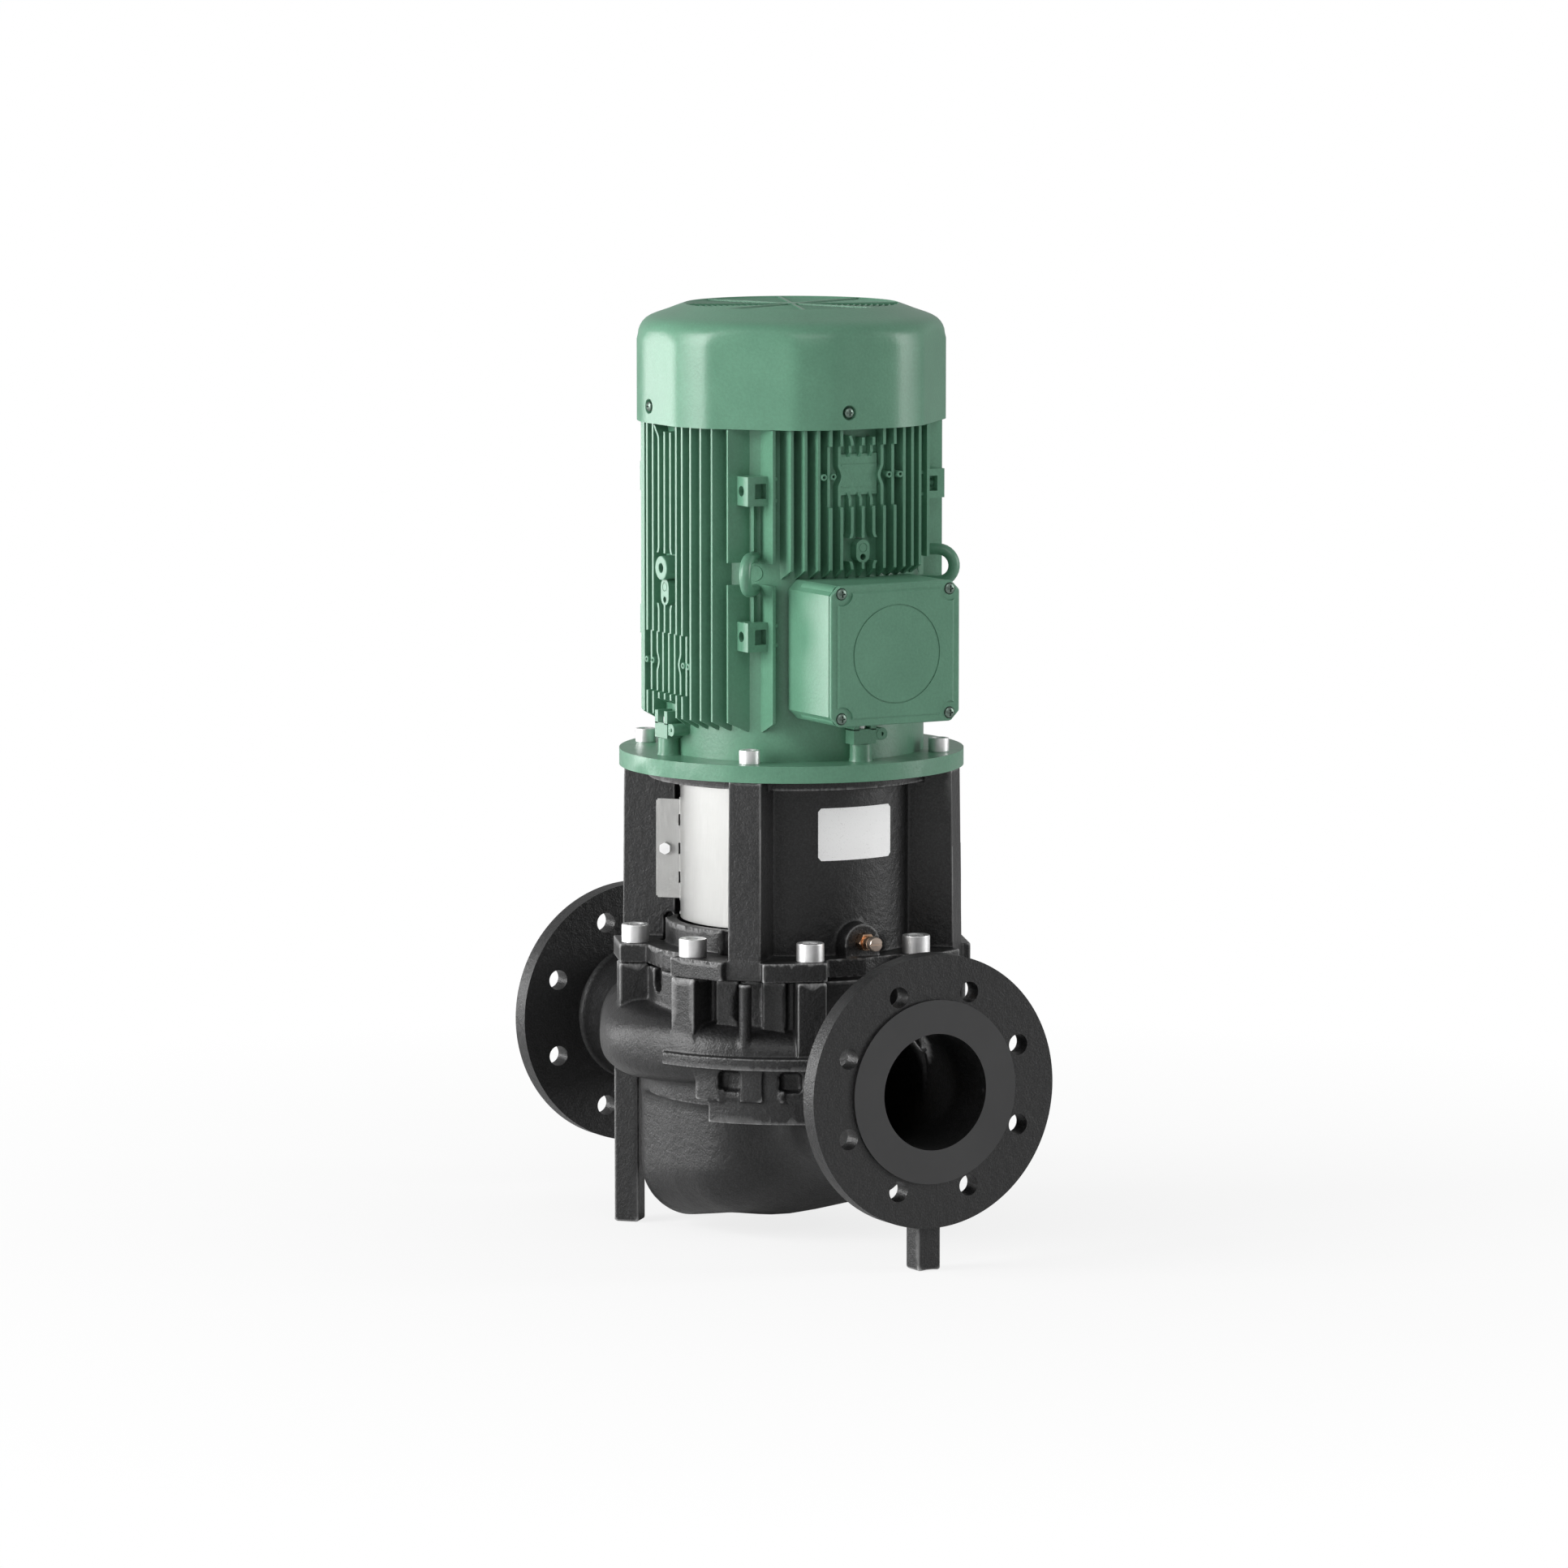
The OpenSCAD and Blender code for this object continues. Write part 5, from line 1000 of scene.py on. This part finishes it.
COVER_PROFILE = [(134.5, 0), (134.5, 40), (134.5, 70), (134.2, 74.5), (133.4, 78), (131.6, 81.4),
                 (129.4, 84.6), (126.4, 87.6), (122.6, 89.9), (118, 91.8), (113, 93.5), (108, 95.2),
                 (102, 97.5), (96, 99.7), (93, 100.7)]


def fan_cover():
    shell, turns = Shape(), 256

    def point(angle, r, z, inset):
        reach = cover_reach(angle, inset)
        r = soft_min(reach, r, 5.0) if r > 118 else min(r, reach)
        return r * cosd(angle), r * sind(angle), COVER_LOW + z

    rows = []
    for i in range(turns):
        a = 360 * i / turns
        outside = [point(a, r + 2.5 if z < 72 else r, z, 0) for r, z in COVER_PROFILE]
        inside = [point(a, r + 2.5 if z < 72 else r - 2, max(z - 2.4, 0), 2.3) for r, z in COVER_PROFILE]
        rows.append(outside + inside[::-1])
    shell.loft(rows, closed=True)
    shell = shell.object("cover")
    # Round dimples through which the screws are seen
    c, cup = Shape(), Shape()
    for a in SIDES:
        at = disc_at(0, COVER_SCREW_Y, COVER_SCREW_Z, a)
        c.rod(6.6, 128.5, 150, at, 40, 0)
        cup.lathe([(2.9, 116), (2.9, 126.6), (5.4, 127.4), (6.2, 130.6), (7.4, 130.6), (7.4, 116)], at, 40)
    subtract(shell, c)
    # Grille of rings on eight spokes
    grille, z, wire = Shape(), COVER_TOP, 0.95
    for i in range(17):
        r = 90.2 - 5.1 * i
        grille.lathe([(r + wire * cosd(45 * j), z - 2.4 + wire * sind(45 * j)) for j in range(8)], segs=128)
    grille.lathe([(0.01, z - 3.4), (8, z - 3.4), (8, z - 0.7), (7.3, z - 0.1), (0.01, z - 0.1)], segs=48)
    for i in range(8):
        grille.block((6, -1.5, z - 3.6), (93.6, 1.5, z - 0.3), turn_z(22.5 + 45 * i))
    o = merge("fan_cover", [shell, cup.object("cups"), grille.object("grille")])
    crisp(o, 0, smooth=30)
    place(o, "motor_paint", "fan_cover")


def octagon(inset, c=CORNER):
    """Box outline in the plane seen along the box, with upright distance first."""
    w, h = BOX_W / 2 - inset, BOX_H / 2 - inset
    low = [(-h, -w + c), (-h + c, -w), (h - c, -w), (h, -w + c)]
    return low + [(x, -y) for x, y in low[::-1]]


def box_rows(*stations):
    """Rows of a body drawn along X; stations are (x, inset)."""
    return [[(x, y, BOX_Z - z) for z, y in octagon(inset)] for x, inset in stations]


ALONG = disc_at(0, 0, BOX_Z)
LID_SCREWS = [(y, z) for y in (-53, 53) for z in (-53.25, 53.25)]


def box_body():
    s = Shape()
    # Rounded edges at the back, a slight draft to the front and a rim under the lid
    s.loft(box_rows((102.5, 3.4), (103.4, 1.6), (105.2, 0.5), (108, 0.1), (150, 0.02), (171.5, 0),
                    (176, 0)))
    o = s.object("box")
    c, post = Shape(), Shape()
    c.prism(octagon(5, 6), 126, 190, ALONG)
    c.lathe([(0.01, 250), (117.4, 250), (117.4, 480), (0.01, 480)], segs=128)
    for z in (-ENTRY_Z, ENTRY_Z):
        c.rod(15.9, 50, 75, shift(ENTRY_X, 0, BOX_Z + z) @ spin(-90, "X"), 48, 0)
    subtract(o, c)
    for y, z in LID_SCREWS:
        post.rod(6.5, 122, 175.9, disc_at(0, y, BOX_Z + z), 28, 0.2)
    o = merge("box_body", [o, post.object("posts")])
    crisp(o, 1.4, 3, 25)
    place(o, "motor_paint", "terminal_box")


def box_lid():
    s, raised = Shape(), Shape()
    s.prism(octagon(-0.8, 8.4), 177, 181.4, ALONG)
    lid = s.object("lid")
    raised.loft(box_rows((180.5, 5.0), (181.5, 5.2), (182.8, 6.8), (183, 7.6)))
    panel = raised.object("panel")
    notches, holes = Shape(), Shape()
    for y, z in LID_SCREWS:
        at = disc_at(0, y, BOX_Z + z)
        notches.lathe([(0.01, 180.2), (9.4, 180.2), (10.6, 184), (0.01, 184)], at, 40)
        holes.rod(5.2, 179.3, 186, at, 36, 0)
    # Round groove in the middle
    notches.lathe([(41.4, 182.3), (42.6, 182.3), (42.6, 184), (41.4, 184)], ALONG, 96)
    subtract(panel, notches)
    crisp(lid, 1.9, 3, 25)
    subtract(lid, holes)
    crisp(panel, 0.4, 2, 25)
    o = merge("box_lid", [lid, panel])
    crisp(o, 0, smooth=50)
    place(o, "motor_paint", "terminal_box_lid")


GUARD_MIDDLE, GUARD_LOW, GUARD_TOP, FLAP_LOW, FLAP_TOP = 178.8, 121.3, 245.5, 135.3, 222.3
SHEET, SLOT_HALF, FLAP_ROUND = 1.2, 5, 1.4


def guard_path():
    """Outline of the sheet's middle plane seen from above, and the index where the flap starts."""
    r, leg_face = 96.4, 15.15
    corner = 45 - math.degrees(math.asin(leg_face / r))
    arc = [(corner - 2.0) * i / 24 for i in range(25)]
    half = [(r * cosd(a), r * sind(a)) for a in arc]
    cx, cy = r * cosd(corner), r * sind(corner)
    d = math.sqrt(0.5)
    (x0, y0), (x1, y1) = half[-1], (cx + 1.8 * d, cy + 1.8 * d)
    for i in range(1, 10):
        f = i / 9
        g, h = (1 - f) ** 2, 2 * f * (1 - f)
        half.append((x0 * g + h * cx + f * f * x1, y0 * g + h * cy + f * f * y1))
    bent = len(half)
    reach = (118.5 - math.sqrt(r * r - leg_face ** 2)) * d
    half += [(cx + reach * u, cy + reach * u) for u in (0.12, 0.8, 0.94, 1.0)]
    return [(x, -y) for x, y in half[:0:-1]] + half, bent


def guard(name, side, replaced):
    """Curved sheet with an outward flap on each leg and slots along the two bends."""
    path, bent = guard_path()
    n = len(path)
    middle = n // 2
    faces = []
    for i, (x, y) in enumerate(path):
        p, q = path[max(i - 1, 0)], path[min(i + 1, n - 1)]
        dx, dy = q[0] - p[0], q[1] - p[1]
        w = SHEET / 2 / math.hypot(dx, dy)
        faces.append([(x + dy * w, y - dx * w), (x - dy * w, y + dx * w)])
    slots = [GUARD_MIDDLE + 25.2 * i for i in range(-2, 3)]
    levels = sorted([GUARD_LOW, FLAP_LOW, FLAP_LOW + FLAP_ROUND, FLAP_TOP - FLAP_ROUND, FLAP_TOP, GUARD_TOP]
                    + [z + d for z in slots for d in (-SLOT_HALF, SLOT_HALF)])
    s, made = Shape(), {}

    def there(i, k):
        """Whether the sheet has material between path points i and i + 1 at level k."""
        if not 0 <= i < n - 1 or not 0 <= k < len(levels) - 1:
            return False
        away = abs(i + 0.5 - middle)
        z = (levels[k] + levels[k + 1]) / 2
        if 25 <= away < 34 and any(abs(z - m) < SLOT_HALF for m in slots):
            return False
        if away < bent - 1:
            return True
        tip = 0 if FLAP_LOW + FLAP_ROUND < z < FLAP_TOP - FLAP_ROUND else 1
        return FLAP_LOW < z < FLAP_TOP and away < middle - tip

    def corner(which, i, k):
        if (which, i, k) not in made:
            made[which, i, k] = s.bm.verts.new(turn_z(side) @ Vector((*faces[i][which], levels[k])))
        return made[which, i, k]

    # Both faces of each cell, and a rim wherever its neighbour is missing
    around = ((0, 0), (1, 0), (1, 1), (0, 1))
    rims = (((-1, 0), (0, 0), (0, 1)), ((1, 0), (1, 0), (1, 1)),
            ((0, -1), (0, 0), (1, 0)), ((0, 1), (0, 1), (1, 1)))
    for i in range(n - 1):
        for k in range(len(levels) - 1):
            if not there(i, k):
                continue
            for which in (0, 1):
                s.bm.faces.new([corner(which, i + a, k + b) for a, b in around])
            for (di, dk), p, q in rims:
                if not there(i + di, k + dk):
                    s.bm.faces.new([corner(which, i + a, k + b)
                                    for which, (a, b) in ((0, p), (0, q), (1, q), (1, p))])
    o = s.object(name)
    crisp(o, 0, smooth=28)
    place(o, "guard_sheet", replaced)


def hex_outline(r, first=0):
    return [at_angle(first + 60 * i, r) for i in range(6)]


def hex_head(name, places, r, h, shank_r, shank_end):
    """Hexagon heads on shanks, with the usual round chamfer on top, cut by turning."""
    objs = []
    for m in places:
        s, c, k = Shape(), Shape(), Shape()
        s.prism(hex_outline(r, 30), 0, h)
        o = s.object("head")
        c.lathe([(r * 0.80, h + 0.5), (r * 0.90, h + 0.01), (r * 1.02, h - 0.112 * r),
                 (r * 1.3, h - 0.28 * r), (r * 1.3, h + 0.5)], segs=48)
        subtract(o, c)
        k.rod(shank_r, shank_end, 0.5, segs=28, edge=0.2)
        o = merge("head", [o, k.object("shank")])
        o.data.transform(m)
        objs.append(o)
    o = merge(name, objs)
    crisp(o, 0, smooth=25)
    return o


def guard_bolts():
    places = []
    for side in (90, 270):
        for hand in (-1, 1):
            on_leg = turn_z(side + hand * 45, 109.5, -hand * 14.5, GUARD_MIDDLE)
            places.append(on_leg @ spin(hand * 90, "X") @ shift(0, 0, 1.3))
    place(hex_head("guard_bolts", places, 5.5, 4, 3, -11), "screw_steel", "guard_screws")


def blank_plate():
    middle_z, half_h, half_turn, steps, corner = 206, 22.75, 19.25, 28, 3
    rows = []
    for i in range(steps + 1):
        f = -1 + 2 * i / steps
        a = 2 + half_turn * f
        away = min(110 * math.radians(half_turn) * (1 - abs(f)), corner)
        h = half_h - corner + math.sqrt(corner ** 2 - (corner - away) ** 2)
        rows.append([(r * cosd(a), r * sind(a), middle_z + z)
                     for r, z in ((110.02, -h), (110.02, h), (110.5, h), (110.5, -h))])
    s = Shape()
    s.loft(rows)
    o = s.object("blank_plate")
    crisp(o, 0, smooth=30)
    place(o, "plate_white", "rating_plate")


VENT = disc_at(126, 0, VENT_Z)


def vent_body():
    o = hex_head("vent_body", [Matrix()], 8, 8, 6, -12)
    s = Shape()
    s.lathe([(3.55, 3), (3.55, 16), (5.4, 16), (5.8, 15.5), (5.8, 9.5), (5.1, 9), (5.1, 3)], segs=48)
    o = merge("vent_body", [o, s.object("neck")])
    o.data.transform(VENT)
    crisp(o, 0, smooth=30)
    place(o, "valve_brass", "vent_valve_body")


def vent_pin():
    s = Shape()
    s.lathe([(0.01, 4), (2.9, 4), (3.5, 4.6), (3.5, 16.4), (5.5, 16.4), (6.2, 17.0), (6.2, 22.6),
             (5.7, 23.2), (0.01, 23.3)], VENT, 48)
    o = s.object("vent_pin")
    c = Shape()
    c.block((-0.7, -7, 21.8), (0.7, 7, 25), VENT)
    subtract(o, c)
    crisp(o, 0.15, 1, 50)
    place(o, "valve_brass", "vent_screw", [VALVE_END], "vent")


def plugs():
    places = [shift(ENTRY_X, 62.5, BOX_Z + z) @ spin(-90, "X") for z in (-27.875, 27.875)]
    o = hex_head("plugs", [m @ shift(0, 0, 0.1) for m in places], 18.9, 4.9, 15.7, -6.9)
    c = Shape()
    for m in places:
        c.lathe([(0.01, 3.4), (11.5, 3.4), (12.3, 4.2), (12.3, 8), (0.01, 8)], m, 48)
    subtract(o, c)
    crisp(o, 0, smooth=25)
    place(o, "black_plastic", "gland_plugs")


motor_frame()
lifting_eye_pair()
motor_flange()
fan_cover()
box_body()
box_lid()
casing_places = [turn_z(a + hand * LUG_TURN, CASING_RING, 0, 100.5) for a in LEGS for hand in (-1, 1)]
cap_screws("casing_bolts", casing_places, 16, 44, "lantern_screws")
cap_screws("flange_bolts", [turn_z(a, MOTOR_RING, 0, 270) for a in LEGS], 12, 41, "motor_flange_screws")
cap_screws("frame_bolts", [turn_z(a, 121.5, 0, 297) for a in SIDES], 6, 28, "frame_screws")
lid_places = [disc_at(179.6, y, BOX_Z + z) for y, z in LID_SCREWS]
cross_screws("lid_screws", lid_places, 9.5, "terminal_lid_screws")
cover_places = [disc_at(129.15, COVER_SCREW_Y, COVER_SCREW_Z, a) for a in SIDES]
cross_screws("cover_screws", cover_places, 8.5, "fan_cover_screws")
guard("left_guard", 270, "left_coupling_guard")
guard("right_guard", 90, "right_coupling_guard")
guard_bolts()
blank_plate()
vent_body()
vent_pin()
plugs()


# Camera, lights and floor

def look(cam_obj):
    data = cam_obj.data
    focal_px, picture_px, sensor = 10227.63, 1932, 36
    data.sensor_width = sensor
    data.sensor_fit = "HORIZONTAL"
    data.lens = focal_px / picture_px * sensor
    data.clip_start, data.clip_end = 0.1, 60
    az, dist, high, pan, pitch = 1.0598010, 7.1809032, 1.1153959, -0.00090116, 0.12172974
    back = Vector((math.sin(az), -math.cos(az), 0))
    right = Vector((math.cos(az), math.sin(az), 0))
    ahead = -back * math.cos(pan) + right * math.sin(pan)
    side = right * math.cos(pan) + back * math.sin(pan)
    up = Vector((0, 0, 1))
    view = ahead * math.cos(pitch) - up * math.sin(pitch)
    top = up * math.cos(pitch) + ahead * math.sin(pitch)
    m = Matrix((side, top, -view)).transposed().to_4x4()
    m.translation = back * dist + Vector((-ARM / 1000, 0, high))
    cam_obj.matrix_world = m


cam = link("camera", bpy.data.cameras.new("camera"))
look(cam)
bpy.context.scene.camera = cam


def area(name, place_at, target, size, power):
    d = bpy.data.lights.new(name, "AREA")
    d.shape = "RECTANGLE"
    d.size, d.size_y = size
    d.energy = power
    o = link(name, d)
    o.location = place_at
    o.rotation_mode = "QUATERNION"
    o.rotation_quaternion = (Vector(target) - Vector(place_at)).to_track_quat("-Z", "Y")


MIDDLE = (-ARM / 1000, 0, 0.25)
area("left_window", (-0.9, -4.2, 1.6), MIDDLE, (2.2, 3.2), 215)
area("front_top", (3.4, -1.2, 3.6), MIDDLE, (2.6, 2.0), 34)
area("low_left", (-3.3, -2.1, 0.25), (-ARM / 1000, 0, -0.05), (1.2, 1.3), 40)
area("right_edge", (2.2, 4.4, 1.4), MIDDLE, (1.4, 3.0), 90)

world = bpy.data.worlds.new("studio")
world.use_nodes = True
bpy.context.scene.world = world
wn = world.node_tree
bg = wn.nodes["Background"]
bg.inputs["Color"].default_value = (1, 1, 1, 1)
rays = node(wn, "LightPath").outputs
seen = calc(wn, "MAXIMUM", rays["Is Camera Ray"], rays["Is Transmission Ray"])
REFLECTED_LEVEL, FILL_LEVEL = 0.42, 0.25
glow = calc(wn, "MULTIPLY", rays["Is Glossy Ray"], REFLECTED_LEVEL)
level = calc(wn, "MAXIMUM", calc(wn, "MAXIMUM", seen, glow), FILL_LEVEL)
wn.links.new(level, bg.inputs["Strength"])


def floor_material():
    """Pale floor that keeps the shadow and fades to white with the distance."""
    m = bpy.data.materials.new("pale_floor")
    m.use_nodes = True
    nt = m.node_tree
    nt.nodes.clear()
    diff = node(nt, "BsdfDiffuse", Color=(0.86, 0.86, 0.86))
    emit = node(nt, "Emission", Color=(1, 1, 1), Strength=1.0)
    away = node(nt, "VectorMath", operation="DISTANCE")
    feed(nt, node(nt, "NewGeometry").outputs["Position"], away.inputs[0])
    away.inputs[1].default_value = (-ARM / 1000, 0, FOOT_Z / 1000)
    clear = spread(nt, calc(nt, "MULTIPLY", away.outputs["Value"], 0.8, clamp=True), 0.80, 1.0)
    camera_ray = node(nt, "LightPath").outputs["Is Camera Ray"]
    mix = node(nt, "MixShader", Fac=calc(nt, "MULTIPLY", camera_ray, clear))
    feed(nt, diff.outputs[0], mix.inputs[1])
    feed(nt, emit.outputs[0], mix.inputs[2])
    node(nt, "OutputMaterial", Surface=mix.outputs[0])
    return m


FLOOR_HALF, FLOOR_Z = 14, -0.1555
me = bpy.data.meshes.new("floor")
me.from_pydata([(x * FLOOR_HALF, y * FLOOR_HALF, FLOOR_Z) for x, y in ((-1, -1), (1, -1), (1, 1), (-1, 1))],
               [], [(0, 1, 2, 3)])
me.materials.append(floor_material())
link("floor", me)

bpy.context.scene.view_settings.view_transform = "Standard"
